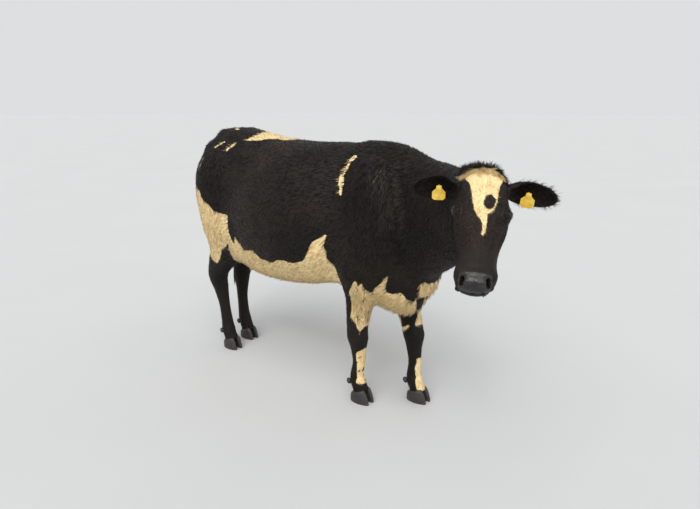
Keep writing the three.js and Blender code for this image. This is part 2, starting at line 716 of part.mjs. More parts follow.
const legSpaces = [];
for (const [name, [footX, footY]] of Object.entries(FEET)) {
  const [end, sideName] = name.split('_');
  const side = SIDES[sideName];
  const joint = end === 'fore' ? KNEE_CUT : HOCK_CUT;
  const inner = side > 0 ? 8 : -260;
  const outer = side > 0 ? 260 : -8;
  const bounds = ([lowZ, highZ], wide) => [
    [footX - wide, inner - 60, lowZ],
    [footX + wide, outer + 60, highZ],
  ];
  legSpaces.push(legSpace(end, side, footX, CUT));
  const upper = legSpace(end, side, footX).intersect(sideOf([0, 0, joint + CUT / 2], [0, 0, 1]));
  add(`${name}_upper_leg`, fleshIn(upper, 44, ...bounds([joint - 120, 1210], 420)), BLACK_COAT);
  const coronet = sideOf([footX + 10, footY, CORONET], [-CORONET_SLOPE, 0, 1]);
  let lower = fleshIn(
    block([footX - LEG_REACH, inner, -20], [footX + LEG_REACH, outer, joint - CUT / 2]).intersect(coronet),
    29,
    ...bounds([-70, joint + 90], LEG_REACH + 60),
  );
  const heel = end === 'fore' ? -54 : -62;
  for (const [which, out] of [['outer', side], ['inner', -side]]) {
    const dewClaw = (grow) => ball([footX + heel, footY + out * 24, 108], [14, 12, 17].map((h) => h + grow), ORIGIN, [7, 4]);
    lower = lower.subtract(dewClaw(CUT));
    add(`${name}_${which}_dew_claw`, dewClaw(0), HORN);
    add(`${name}_${which}_claw`, claw(footX, footY, out), HORN);
  }
  add(`${name}_lower_leg`, mainPiece(lower.simplify(MERGE)), BLACK_COAT);
}

// ---- udder, tail and trunk

const udderSpace = (grow) => spanned([[[-490, 0, 660], [205, 124, 140]]], grow);
const minusLegs = (solid) => legSpaces.reduce((rest, space) => rest.subtract(space), solid);

let udder = fleshIn(minusLegs(udderSpace(0)), 44, [-780, -200, 440], [-200, 200, 860]);
for (const [sideName, side] of Object.entries(SIDES)) {
  for (const [which, x] of [['fore', -440], ['rear', -520]]) {
    const teat = (grow) => ball([x, side * 50, 584], [12, 12, 29].map((h) => h + grow), ORIGIN, [8, 6]);
    udder = udder.subtract(teat(CUT));
    add(`${which}_${sideName}_teat`, teat(0), TEAT_SKIN);
  }
}
add('udder', mainPiece(udder.simplify(MERGE)), WHITE_COAT);

const TAIL_ROOT = -868; // the tail is free of the rump behind this
const SWITCH_TOP = 690;
const tailBlock = (lowZ, highZ, grow = 0) => block([-1040, -70 - grow, lowZ], [TAIL_ROOT + grow, 60 + grow, highZ]);
add('tail', fleshIn(tailBlock(SWITCH_TOP + CUT / 2, 1450), 25, [-1060, -120, 560], [-760, 110, 1480]), BLACK_COAT);
add('tail_switch', fleshIn(tailBlock(250, SWITCH_TOP - CUT / 2), 26, [-1060, -120, 250], [-800, 110, 800]), WHITE_COAT);

const rest = minusLegs(backOf(NECK_CUT)).subtract(udderSpace(CUT)).subtract(tailBlock(200, 1460, CUT));
add('trunk', fleshIn(rest, 72, [-1100, -560, 300], [1100, 560, 1640]), BLACK_COAT);

// ---------------------------------------------------------------------------------- the finished cow

// The origin goes to the floor under the middle of the cow's box.
const box = new THREE.Box3();
for (const { solid } of parts) {
  const { min, max } = solid.boundingBox();
  box.union(new THREE.Box3(new THREE.Vector3(...min), new THREE.Vector3(...max)));
}
const middle = box.getCenter(new THREE.Vector3());

const cow = new THREE.Group();
cow.name = 'cow';
for (const { name, solid, material } of parts) {
  const mesh = new THREE.Mesh(geometryOf(solid.translate(-middle.x, -middle.y, -box.min.z)), material);
  mesh.name = name;
  cow.add(mesh);
}

export default cow;
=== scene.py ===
"""Dresses the solid model of a standing dairy cow: one skin, its coat, eyes, claws, tags and stage."""

import json
import math

import bpy
import numpy as np
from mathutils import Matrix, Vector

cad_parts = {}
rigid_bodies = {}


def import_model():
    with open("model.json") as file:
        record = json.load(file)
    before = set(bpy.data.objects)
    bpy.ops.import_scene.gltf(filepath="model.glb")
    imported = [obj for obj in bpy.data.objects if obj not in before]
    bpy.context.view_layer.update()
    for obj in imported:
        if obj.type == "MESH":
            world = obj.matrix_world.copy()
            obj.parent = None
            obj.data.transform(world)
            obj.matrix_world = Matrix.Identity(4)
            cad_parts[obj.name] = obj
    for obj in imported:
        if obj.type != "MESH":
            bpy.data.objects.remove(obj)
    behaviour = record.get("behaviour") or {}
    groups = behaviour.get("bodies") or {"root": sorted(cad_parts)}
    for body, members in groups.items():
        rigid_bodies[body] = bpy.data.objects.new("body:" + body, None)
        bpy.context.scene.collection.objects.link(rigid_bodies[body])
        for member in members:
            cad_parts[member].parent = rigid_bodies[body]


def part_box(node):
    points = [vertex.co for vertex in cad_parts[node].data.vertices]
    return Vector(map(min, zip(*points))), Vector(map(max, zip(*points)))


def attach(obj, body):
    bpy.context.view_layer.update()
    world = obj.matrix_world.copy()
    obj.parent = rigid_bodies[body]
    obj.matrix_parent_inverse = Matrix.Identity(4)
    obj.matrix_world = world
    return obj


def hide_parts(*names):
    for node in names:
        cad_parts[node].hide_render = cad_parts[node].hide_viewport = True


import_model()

bl_info = {
    "name": "Standing Dairy Cow",
    "version": (1, 0, 0),
    "blender": (4, 5, 0),
    "location": "3D View > Sidebar > Cow",
    "description": "Skin, coat, eyes, claws, tags and stage for a standing black and white cow",
    "category": "Object",
}

# ---- Sizes. Lengths in this block are millimetres in the cow's own frame: x forward, y to the cow's
# left, z up, with the origin on the floor under the middle of the trunk.

SIDES = {"left": 1, "right": -1}
UP = np.array([0.0, 0.0, 1.0])
FORWARD = np.array([1.0, 0.0, 0.0])


def frame_at(place, heading, pitch, roll):
    """A frame turned by three angles in degrees, as its three axes in columns and its origin."""
    a, b, c = (math.radians(angle) for angle in (heading, pitch, roll))
    turn_z = [[math.cos(a), -math.sin(a), 0], [math.sin(a), math.cos(a), 0], [0, 0, 1]]
    turn_y = [[math.cos(b), 0, math.sin(b)], [0, 1, 0], [-math.sin(b), 0, math.cos(b)]]
    turn_x = [[1, 0, 0], [0, math.cos(c), -math.sin(c)], [0, math.sin(c), math.cos(c)]]
    return np.array(turn_z) @ turn_y @ turn_x, np.array(place, float)


# The head's frame: x from the poll down the face, y to the cow's left, z out of the forehead.
HEAD = frame_at([1255, -378, 1366], -64.6, 37, -4.1)
WHOLE = (np.eye(3), np.zeros(3))
HEAD_FROM = 950
FACE_FROM = 1000

EYE_PLACE = [197, 83, -45]
EYE_RADIUS = 21
EAR_ROOT = [50, 82, -74]
EAR_TIP = [62, 250, -76]
EAR_OPENS = [0.85, 0, 0.35]
TAG_PLACE = [82, -16]

# How far the skin lies under the tips of the coat.
DEPTH_BODY = 7.0
DEPTH_LEG = 4.0
DEPTH_FACE = 3.0

# ---- Form: lofts through rings, melted together, then raised and hollowed by soft swellings.

LOFT_STEPS = 4
FAR_OFF = 140.0
BEND = 0.5
AT_ONCE = 40000


def unit(vectors):
    return vectors / np.maximum(np.linalg.norm(vectors, axis=-1, keepdims=True), 1e-9)


def local(points, place):
    """Points in a frame's own coordinates."""
    axes, origin = place
    return (points - origin) @ axes


def from_local(points, place):
    axes, origin = place
    return np.asarray(points, float) @ axes.T + origin


def mirrored(points, side):
    """Places in the head's frame as given on the left, or swapped over to the right for -1."""
    return np.asarray(points, float) * [1, side, 1]


def ring(x, y, z, side, over, under, power=2):
    """One ring of a loft: its middle, half width, height over and under it, and squareness."""
    return (x, y, z, side, over, under, power)


def spline(points, at, slope=False):
    """Places, or directions, along a smooth curve through points."""
    points = np.array(points, float)
    last = len(points) - 1
    points = np.vstack([2 * points[0] - points[1], points, 2 * points[-1] - points[-2]])
    at = np.asarray(at, float) * last
    index = np.minimum(np.floor(at).astype(int), last - 1)
    share = (at - index)[:, None]
    p0, p1, p2, p3 = (points[index + step] for step in range(4))
    t0, t1 = BEND * (p2 - p0), BEND * (p3 - p1)
    c2 = -3 * p1 + 3 * p2 - 2 * t0 - t1
    c3 = 2 * p1 - 2 * p2 + t0 + t1
    if slope:
        return t0 + 2 * c2 * share + 3 * c3 * share * share
    return p1 + t0 * share + c2 * share * share + c3 * share**3


class Loft:
    """A rounded body through rings, measured as a distance from its surface."""

    def __init__(self, rings, place=WHOLE, up=(0, 0, 1), cap=0.6):
        table = np.array(rings, float)
        count = (len(table) - 1) * LOFT_STEPS
        at = np.linspace(0, 1, count + 1)
        centre = spline(table[:, :3], at)
        along = unit(spline(table[:, :3], at, True))
        side = unit(np.cross(np.array(up, float), along))
        over = unit(np.cross(along, side))
        axes, origin = place
        self.radii = spline(table[:, 3:6], at)
        self.power = np.interp(at * (len(table) - 1), np.arange(len(table)), table[:, 6])
        self.centre = centre @ axes.T + origin
        self.along, self.side, self.over = (v @ axes.T for v in (along, side, over))
        self.cap = cap
        self.reached = np.r_[0, np.cumsum(np.linalg.norm(np.diff(self.centre, axis=0), axis=1))]
        big = self.radii.max(1)[:, None]
        low, high = (self.centre - big).min(0), (self.centre + big).max(0)
        self.middle = (low + high) / 2
        self.reach = np.linalg.norm(high - low) / 2

    def nearest(self, points):
        """The stretch of centre line nearest to each point, and how far along it."""
        start = self.centre[:-1]
        run = self.centre[1:] - start
        squared = (run * run).sum(1)
        share = np.clip((points @ run.T - (start * run).sum(1)) / squared, 0, 1)
        gap = np.zeros_like(share)
        for axis in range(3):
            off = points[:, axis : axis + 1] - start[:, axis] - share * run[:, axis]
            gap += off * off
        index = gap.argmin(1)
        return index, share[np.arange(len(points)), index][:, None]

    def placed(self, points):
        """Across, height and length along the loft, its direction there, and the mixed rings."""
        index, share = self.nearest(points)

        def mix(values):
            return values[index] + (values[index + 1] - values[index]) * share

        off = points - mix(self.centre)

        def dot(axis):
            first = (off * axis[index]).sum(1) * (1 - share[:, 0])
            return first + (off * axis[index + 1]).sum(1) * share[:, 0]

        length = mix(self.reached[:, None])[:, 0]
        return dot(self.side), dot(self.over), dot(self.along), length, off, mix

    def surface(self, points):
        across, height, past, _, off, mix = self.placed(points)
        radii = mix(self.radii)
        power = mix(self.power[:, None])[:, 0]
        width = radii[:, 0]
        rise = np.where(height > 0, radii[:, 1], radii[:, 2])
        flat = ((np.abs(across) / width) ** power + (np.abs(height) / rise) ** power) ** (1 / power)
        least = np.minimum(width, rise)
        share = np.hypot(flat, past / (self.cap * least))
        size = np.linalg.norm(off, axis=1)
        return np.where(share < 1e-6, -least, size * (1 - 1 / np.maximum(share, 1e-6)))

    def distance(self, points):
        out = np.linalg.norm(points - self.middle, axis=1) - self.reach
        near = np.flatnonzero(out <= FAR_OFF)
        for start in range(0, len(near), AT_ONCE):
            part = near[start : start + AT_ONCE]
            out[part] = self.surface(points[part])
        return out


def joined(first, second, rounding):
    """Two distances melted into one, with a fillet of about the rounding given."""
    near = np.maximum(rounding - np.abs(first - second), 0) / rounding
    return np.minimum(first, second) - near * near * rounding * 0.25


def carved(body, hollow, rounding):
    return -joined(-body, hollow, rounding)


def swelling(x, y, z, height, span_x, span_y, span_z, place=WHOLE):
    """A soft rise of the surface, or a hollow where its height is below zero."""
    axes, _ = place
    return from_local([x, y, z], place), axes, height, np.array([span_x, span_y, span_z], float)


def pair(x, y, z, *rest):
    return [swelling(x, side * y, z, *rest) for side in SIDES.values()]


def swell(forms, points):
    out = np.zeros(len(points))
    for centre, axes, height, span in forms:
        off = points - centre
        near = np.flatnonzero(np.abs(off).max(1) < 3.5 * span.max())
        squared = (((off[near] @ axes) / span) ** 2).sum(1)
        out[near] += height * np.exp(-squared)
    return out


TRUNK = Loft(
    [
        ring(-792, 0, 1135, 195, 366, 150, 3),
        ring(-720, 0, 1100, 228, 398, 175, 2.8),
        ring(-600, 0, 1055, 240, 422, 255, 2.4),
        ring(-450, 0, 1003, 280, 446, 348, 2.4),
        ring(-300, 0, 958, 335, 467, 378, 2.3),
        ring(-120, 0, 937, 372, 469, 363, 2.2),
        ring(80, 0, 930, 378, 472, 333, 2.2),
        ring(270, 0, 930, 338, 476, 294, 2.2),
        ring(430, 0, 935, 280, 465, 317, 2.1),
        ring(580, 0, 940, 236, 440, 390, 2.1),
        ring(700, 0, 943, 196, 382, 381, 2.1),
        ring(780, 0, 945, 150, 305, 295, 2),
    ],
    cap=0.4,
)
NECK = Loft(
    [
        ring(430, 0, 1085, 150, 300, 360, 2.1),
        ring(560, -4, 1083, 160, 308, 372, 2.1),
        ring(680, -22, 1082, 158, 302, 366, 2.1),
        ring(830, -80, 1092, 140, 266, 300, 2.1),
        ring(960, -160, 1122, 122, 230, 246, 2),
        ring(1075, -252, 1160, 110, 188, 222, 2),
        ring(1170, -335, 1205, 100, 146, 204, 2),
    ],
    cap=0.8,
)
SKULL = Loft(
    [
        ring(-20, 0, -82, 66, 52, 78, 2.2),
        ring(30, 0, -80, 88, 76, 90, 2.3),
        ring(100, 0, -84, 100, 86, 104, 2.4),
        ring(190, 0, -88, 100, 84, 106, 2.4),
        ring(262, 0, -88, 87, 72, 90, 2.3),
        ring(325, 0, -86, 76, 62, 70, 2.3),
        ring(395, 0, -86, 70, 54, 54, 2.3),
        ring(450, 0, -88, 74, 52, 46, 2.3),
        ring(482, 0, -92, 67, 46, 40, 2.2),
    ],
    place=HEAD,
    cap=0.7,
)
LOWER_JAW = Loft(
    [
        ring(66, 0, -148, 66, 60, 60),
        ring(148, 0, -166, 74, 72, 76),
        ring(235, 0, -158, 73, 60, 78),
        ring(322, 0, -140, 63, 48, 52),
        ring(402, 0, -128, 58, 38, 32),
        ring(458, 0, -128, 60, 30, 22),
        ring(476, 0, -130, 51, 25, 17),
    ],
    place=HEAD,
    cap=0.8,
)
FEET = {
    "fore_left": [664, 106],
    "fore_right": [432, -105],
    "hind_left": [-753, 82],
    "hind_right": [-700, -105],
}


def lerp(first, last, share):
    return first + (last - first) * share


def foreleg(side, foot):
    """A foreleg from the shoulder blade to the crown of the claws."""
    foot_x, foot_y = foot

    def x(high, share):
        return lerp(high, foot_x, share)

    def y(high, share):
        return lerp(side * high, foot_y, share)

    rings = [
        ring(545, side * 140, 1300, 34, 80, 80),
        ring(565, side * 172, 1170, 62, 125, 130),
        ring(605, side * 185, 1000, 80, 140, 150),
        ring(x(555, 0.1), y(185, 0), 840, 84, 128, 145),
        ring(x(512, 0.25), y(175, 0.15), 700, 70, 86, 108),
        ring(x(500, 0.5), y(165, 0.4), 560, 58, 66, 92),
        ring(x(498, 0.8), y(155, 0.65), 430, 51, 49, 82),
        ring(x(502, 0.9), y(150, 0.8), 372, 52, 48, 74, 2.4),
        ring(x(500, 0.93), y(145, 0.9), 305, 41, 37, 56, 2.2),
        ring(x(500, 0.97), y(140, 1), 225, 34, 34, 46),
        ring(foot_x - 14, foot_y, 150, 38, 41, 44),
        ring(foot_x - 8, foot_y, 118, 45, 46, 49),
        ring(foot_x + 8, foot_y, 80, 43, 42, 46),
        ring(foot_x + 20, foot_y, 45, 50, 50, 52, 2.3),
    ]
    return Loft(rings, up=FORWARD)


def hindleg(side, foot):
    """A hind leg from the hip to the crown of the claws."""
    foot_x, foot_y = foot

    def x(high, share):
        return high + share * (foot_x + 700)

    def y(high, share):
        return lerp(side * high, foot_y, share)

    rings = [
        ring(-600, side * 120, 1330, 60, 90, 120),
        ring(-620, side * 152, 1210, 112, 165, 195),
        ring(-630, side * 160, 1060, 130, 215, 200),
        ring(-600, y(165, 0), 890, 114, 215, 212),
        ring(-605, y(165, 0.1), 760, 88, 155, 204),
        ring(x(-665, 0.3), y(155, 0.3), 655, 75, 98, 140),
        ring(x(-742, 0.5), y(150, 0.5), 560, 63, 74, 102),
        ring(x(-768, 0.6), y(145, 0.6), 490, 58, 62, 84, 2.3),
        ring(x(-758, 0.75), y(140, 0.75), 410, 48, 50, 62),
        ring(foot_x - 42, y(140, 0.9), 300, 36, 42, 46),
        ring(foot_x - 28, foot_y, 190, 38, 44, 46),
        ring(foot_x - 18, foot_y, 128, 45, 50, 50),
        ring(foot_x + 2, foot_y, 84, 43, 44, 48),
        ring(foot_x + 14, foot_y, 45, 48, 50, 52, 2.3),
    ]
    return Loft(rings, up=FORWARD)


def leg(name):
    make = foreleg if name.startswith("fore") else hindleg
    return make(SIDES[name.split("_")[1]], FEET[name])


LEGS = {name: leg(name) for name in FEET}
TAIL = Loft(
    [
        ring(-690, 0, 1410, 42, 44, 46),
        ring(-785, 0, 1412, 36, 38, 40),
        ring(-858, 0, 1348, 30, 30, 32),
        ring(-918, 0, 1190, 25, 25, 25),
        ring(-924, 0, 1000, 21, 21, 21),
        ring(-914, -8, 800, 19, 19, 19),
        ring(-902, -14, 660, 20, 20, 20),
        ring(-894, -16, 560, 17, 17, 17),
    ],
    up=(0, 1, 0),
    cap=0.8,
)
UDDER = Loft(
    [
        ring(-330, 0, 700, 105, 80, 70),
        ring(-440, 0, 680, 130, 120, 105),
        ring(-550, 0, 690, 125, 130, 118),
        ring(-640, 0, 740, 85, 120, 100),
    ],
    cap=0.8,
)
BODY_FORMS = [
    *pair(-415, 262, 1345, 44, 75, 60, 60),
    *pair(-785, 150, 1368, 46, 70, 62, 60),
    *pair(-650, 250, 1190, 20, 110, 90, 110),
    *pair(-285, 290, 1265, -40, 120, 110, 90),
    *pair(-600, 200, 1410, -20, 90, 55, 55),
    *pair(-330, 300, 800, -24, 70, 90, 130),
    *pair(-420, 262, 850, 20, 80, 70, 110),
    *pair(555, 235, 1210, 18, 90, 80, 160),
    *pair(735, 190, 975, 26, 80, 70, 80),
    *pair(400, 290, 1100, -16, 60, 90, 160),
    *pair(360, 220, 790, -20, 60, 80, 80),
    *pair(455, 235, 800, 20, 50, 50, 60),
    swelling(640, 0, 560, 18, 130, 80, 60),
]
FACE_FORMS = [
    *pair(198, 92, -44, 13, 38, 26, 28, HEAD),
    *pair(135, 108, -98, -10, 50, 30, 30, HEAD),
    *pair(160, 82, -152, 12, 60, 40, 50, HEAD),
    *pair(255, 78, -92, 7, 60, 26, 20, HEAD),
    *pair(345, 60, -52, -5, 60, 26, 30, HEAD),
    *pair(458, 54, -58, 10, 24, 24, 22, HEAD),
    *pair(477, 40, -62, -13, 15, 11, 14, HEAD),
    *pair(422, 64, -112, -6, 65, 26, 9, HEAD),
    swelling(492, 0, -112, -9, 26, 60, 9, HEAD),
    swelling(468, 0, -146, 8, 26, 36, 20, HEAD),
    swelling(20, 0, -6, 16, 40, 52, 30, HEAD),
    swelling(195, 0, 0, -7, 60, 42, 30, HEAD),
]


def flesh(points):
    """Distance from the tips of the coat, in millimetres, below zero inside."""
    body = joined(TRUNK.distance(points), NECK.distance(points), 120)
    for limb in LEGS.values():
        body = joined(body, limb.distance(points), 80)
    body = joined(body, UDDER.distance(points), 50)
    body = joined(body, TAIL.distance(points), 22)
    head = joined(SKULL.distance(points), LOWER_JAW.distance(points), 26)
    head = head - swell(FACE_FORMS, points)
    return joined(body, head, 70) - swell(BODY_FORMS, points)


def blend_share(value, start, end):
    """0 before the start, 1 after the end, with an even turn between them."""
    share = np.clip((value - start) / (end - start), 0, 1)
    return share * share * (3 - 2 * share)


def depth(points):
    """How deep the skin lies under the coat's tips at each point."""
    on_face = blend_share(local(points, HEAD)[:, 0], -60, 60) * (points[:, 0] > HEAD_FROM)
    on_leg = blend_share(-points[:, 2], -620, -420)
    deep = lerp(DEPTH_BODY, DEPTH_LEG, on_leg)
    return lerp(deep, DEPTH_FACE, on_face)


# ---- Meshing: surface nets on a coarse lattice, then edges halved where the form needs more.

COARSE = 4


def doubled(values, axis):
    """Values on a lattice of every fourth point, filled in between along one axis."""
    count = values.shape[axis]
    at = np.arange((count - 1) * COARSE + 1) / COARSE
    index = np.minimum(at.astype(int), count - 2)
    shape = [1, 1, 1]
    shape[axis] = -1
    share = (at - index).reshape(shape)
    return np.take(values, index, axis) * (1 - share) + np.take(values, index + 1, axis) * share


def lattice_values(field, low, high, cell):
    """The field on the whole lattice, worked out in full only near the surface."""
    count = np.ceil((np.array(high) - low) / (cell * COARSE)).astype(int) + 1
    axes = [low[i] + np.arange(count[i]) * cell * COARSE for i in range(3)]
    grid = np.stack(np.meshgrid(*axes, indexing="ij"), -1).reshape(-1, 3)
    values = field(grid).reshape(count)
    for axis in range(3):
        values = doubled(values, axis)
    near = np.abs(values) < 1.8 * COARSE * cell
    values[near] = field(low + np.argwhere(near) * cell)
    return values


def nets(field, low, high, cell):
    """A closed mesh of the field's zero surface, with one point in each cell that it crosses."""
    low = np.array(low, float)
    values = lattice_values(field, low, high, cell)
    inside = values < 0
    size = np.array(values.shape)
    steps = np.eye(3, dtype=int)
    cells, places, quads = [], [], []
    for axis in range(3):
        first = [slice(None)] * 3
        second = [slice(None)] * 3
        first[axis] = slice(0, -1)
        second[axis] = slice(1, None)
        crossed = inside[tuple(first)] != inside[tuple(second)]
        edge = np.argwhere(crossed)
        start = values[tuple(first)][crossed]
        end = values[tuple(second)][crossed]
        place = low + (edge + steps[axis] * (start / (start - end))[:, None]) * cell
        u, v = steps[(axis + 1) % 3], steps[(axis + 2) % 3]
        around = [edge, edge - u, edge - u - v, edge - v]
        names = [(c[:, 0] * size[1] + c[:, 1]) * size[2] + c[:, 2] for c in around]
        cells += names
        places += [place] * 4
        quad = np.stack(names, 1)
        quad[start >= 0] = quad[start >= 0][:, ::-1]
        quads.append(quad)
    cell_names, index = np.unique(np.concatenate(cells), return_inverse=True)
    place = np.concatenate(places)
    total = np.stack([np.bincount(index, place[:, k], len(cell_names)) for k in range(3)], 1)
    points = total / np.bincount(index, minlength=len(cell_names))[:, None]
    quads = np.searchsorted(cell_names, np.vstack(quads))
    return points, np.vstack([quads[:, [0, 1, 2]], quads[:, [0, 2, 3]]])


def edges_of(faces, count):
    """Every edge once, and for each face the names of its three edges."""
    ends = np.sort(faces[:, [0, 1, 1, 2, 2, 0]].reshape(-1, 2), axis=1)
    key, which = np.unique(ends[:, 0] * count + ends[:, 1], return_inverse=True)
    return np.stack([key // count, key % count], 1), which.reshape(-1, 3)


def refined(points, faces, longest):
    """Halves each edge that is longer than the length wanted at its middle."""
    edges, of_face = edges_of(faces, len(points))
    middle = points[edges].mean(1)
    length = np.linalg.norm(points[edges[:, 0]] - points[edges[:, 1]], axis=1)
    split = length > longest(middle)
    name = np.full(len(edges), -1)
    name[split] = len(points) + np.arange(split.sum())
    cut = name[of_face]
    count = (cut >= 0).sum(1)
    turn = np.zeros(len(faces), int)
    turn[count == 1] = (cut[count == 1] >= 0).argmax(1)
    turn[count == 2] = ((cut[count == 2] < 0).argmax(1) + 1) % 3
    order = (turn[:, None] + np.arange(3)) % 3
    a, b, c = np.take_along_axis(faces, order, 1).T
    ab, bc, ca = np.take_along_axis(cut, order, 1).T
    patterns = {
        0: [(a, b, c)],
        1: [(a, ab, c), (ab, b, c)],
        2: [(ab, b, bc), (a, ab, bc), (a, bc, c)],
        3: [(a, ab, ca), (ab, b, bc), (ca, bc, c), (ab, bc, ca)],
    }
    made = []
    for number, triangles in patterns.items():
        chosen = count == number
        made += [np.stack([corner[chosen] for corner in triangle], 1) for triangle in triangles]
    return np.vstack([points, middle[split]]), np.vstack(made)


def normals_of(points, faces):
    """Normals at the points, weighted by the area of the faces around them."""
    corners = points[faces]
    across = np.cross(corners[:, 1] - corners[:, 0], corners[:, 2] - corners[:, 0])
    total = np.zeros_like(points)
    for corner in range(3):
        for axis in range(3):
            total[:, axis] += np.bincount(faces[:, corner], across[:, axis], len(points))
    return unit(total)


def evened(points, faces, share=0.5):
    """Slides the points along the surface towards the middle of their neighbours."""
    edges, _ = edges_of(faces, len(points))
    total = np.zeros_like(points)
    both = np.r_[edges[:, 0], edges[:, 1]]
    other = np.r_[edges[:, 1], edges[:, 0]]
    for axis in range(3):
        total[:, axis] = np.bincount(both, points[other, axis], len(points))
    move = total / np.bincount(both, minlength=len(points))[:, None] - points
    normal = normals_of(points, faces)
    return points + share * (move - normal * (move * normal).sum(1)[:, None])


def settled(points, faces, field, most):
    """Moves the points along their normals on to the field's zero surface."""
    value = np.clip(field(points), -most, most)
    return points - normals_of(points, faces) * value[:, None]


# ---- The head's fine forms, in the head's frame.

LID = 3.0
SLIT_HALF = 20.5
LID_UP = 11.5
LID_DOWN = 7.5
EYE_OUT = [0.3, 0.79, 0.53]
NOSTRIL_PLACE = [487, 38, -66]
NOSTRIL_HALVES = [22, 9, 14]
MOUTH_FROM = 392
MOUTH_HEIGHT = -117


def eye_axes(side):
    """Along the slit to its inner corner, up it, and out of the eye."""
    out = unit(mirrored(EYE_OUT, side))
    slit = np.array([1, 0, -0.22])
    slit = unit(slit - out * (slit @ out))
    up = np.cross(out, slit)
    return np.stack([slit, up * np.sign(up[2]), out])


def eye_opening(head_points, side):
    """The slit between the lids, as a distance below zero inside it."""
    off = head_points - mirrored(EYE_PLACE, side)
    along, up, out = (off @ axis for axis in eye_axes(side))
    narrow = 1 - np.clip(np.abs(along) / SLIT_HALF, 0, 1.3) ** 2
    half = np.where(up > 0, LID_UP, LID_DOWN) * narrow
    wedge = np.maximum(np.abs(up) - half, 5 - out)
    core = EYE_RADIUS - 2.5 - np.linalg.norm(off, axis=1)
    return np.maximum(wedge, core)


def lid_folds(head_points, side):
    """Shallow creases round the lids, deepest above the eye."""
    off = head_points - mirrored(EYE_PLACE, side)
    along, up, _ = (off @ axis for axis in eye_axes(side))
    far = np.hypot(along * 0.82, up)
    above = blend_share(up, -4, 6)
    below = blend_share(-up, 0, 8)
    creases = 1.9 * above * np.exp(-(((far - 21) / 2.4) ** 2))
    creases += 1.5 * above * np.exp(-(((far - 29) / 2.8) ** 2))
    creases += 1.3 * below * np.exp(-(((far - 18) / 2.4) ** 2))
    creases -= 1.6 * above * np.exp(-(((far - 25) / 3) ** 2))
    return creases


def nostril(head_points, side):
    """A comma-shaped opening at the corner of the muzzle, below zero inside it."""
    off = head_points - mirrored(NOSTRIL_PLACE, side)
    deep = unit(np.array([0.75, 0.5 * side, 0.2]))
    long = np.array([-0.25, 0.35 * side, 0.9])
    long = unit(long - deep * (long @ deep))
    wide = np.cross(deep, long)
    place = np.stack([off @ deep, off @ wide, off @ long], 1)
    place[:, 1] += 0.02 * place[:, 2] ** 2 * side
    share = np.linalg.norm(place / NOSTRIL_HALVES, axis=1)
    return (share - 1) * min(NOSTRIL_HALVES)


def mouth_groove(head_points):
    """The line between the lips, from one corner of the mouth round the muzzle to the other."""
    x, _, z = head_points.T
    drop = -6 * blend_share(-x, -450, -MOUTH_FROM)
    near = np.exp(-(((z - MOUTH_HEIGHT - drop) / 4.2) ** 2))
    return 4 * near * blend_share(x, MOUTH_FROM - 8, MOUTH_FROM + 40)


HEAD_DETAILS = [
    *pair(487, 38, -66, 6, 26, 17, 22),  # wings of the nostrils
    *pair(468, 60, -84, -3.5, 20, 14, 12),  # hollow behind each wing
    *pair(430, 60, -100, 4, 34, 16, 13),  # upper lip
    *pair(415, 64, -113, 6, 55, 22, 9),  # corner of the mouth, less deep under the hair
    *pair(410, 50, -140, 3, 36, 20, 10),  # lower lip
    *pair(300, 66, -120, -4, 60, 20, 20),  # hollow of the cheek before the jaw muscle
    *pair(238, 92, -118, 3.5, 40, 20, 12),  # facial ridge under the eye
    *pair(140, 62, -6, 5, 40, 18, 16),  # brow over the eye
    *pair(100, 92, -52, -6, 30, 22, 18),  # temple
    *pair(282, 34, -14, -2.5, 70, 8, 14),  # beside the bone of the nose
    *pair(240, 60, -196, 3, 60, 16, 26),  # edge of the jaw
    swelling(497, 0, -84, -2.2, 22, 3, 30),  # middle groove of the muzzle
    swelling(470, 0, -42, 3, 16, 36, 10),  # upper edge of the muzzle
    swelling(446, 0, -36, -2.5, 10, 44, 14),
    swelling(150, 0, -2, 4, 60, 16, 20),
]


def faced(points, body):
    """The skin's distance with the lids, nostrils, lips and folds of the face worked into it."""
    near = np.flatnonzero((local(points, HEAD)[:, 0] > 20) & (points[:, 0] > FACE_FROM))
    if not len(near):
        return body
    head_points = local(points[near], HEAD)
    value = body[near] - swell(HEAD_DETAILS, head_points)
    value = value + np.where(value < 25, mouth_groove(head_points), 0)
    for side in SIDES.values():
        ball = np.linalg.norm(head_points - mirrored(EYE_PLACE, side), axis=1)
        value = joined(value, ball - EYE_RADIUS - LID, 11)
        value = value + lid_folds(head_points, side) * blend_share(-ball, -58, -40)
        value = carved(value, eye_opening(head_points, side), 2.4)
        value = carved(value, nostril(head_points, side), 5)
    body[near] = value
    return body


# ---- Feet, teats and the whole skin.

CORONET = 60
CORONET_SLOPE = 0.28
TEAT_HALVES = [11, 11, 27]
TEAT_PLACES = [(x, y, 586) for x in (-440, -520) for y in (-50, 50)]


def coronet_height(x, foot_x):
    return CORONET + CORONET_SLOPE * (x - foot_x - 10)


def above_coronets(points, body):
    """The skin ends over each foot along the slanted crown of its claws."""
    low = np.flatnonzero(points[:, 2] < 130)
    value = body[low]
    x, y, z = points[low].T
    for foot_x, foot_y in FEET.values():
        near = (np.abs(x - foot_x) < 130) & (np.abs(y - foot_y) < 90)
        under = z - coronet_height(x, foot_x) + 3
        value = np.where(near, carved(value, under, 7), value)
    body[low] = value
    return body


def with_teats(points, body):
    near = np.flatnonzero((points[:, 2] < 680) & (points[:, 0] < -340) & (points[:, 0] > -600))
    value = body[near]
    for place in TEAT_PLACES:
        share = np.linalg.norm((points[near] - place) / TEAT_HALVES, axis=1)
        value = joined(value, (share - 1) * 11, 16)
    body[near] = value
    return body


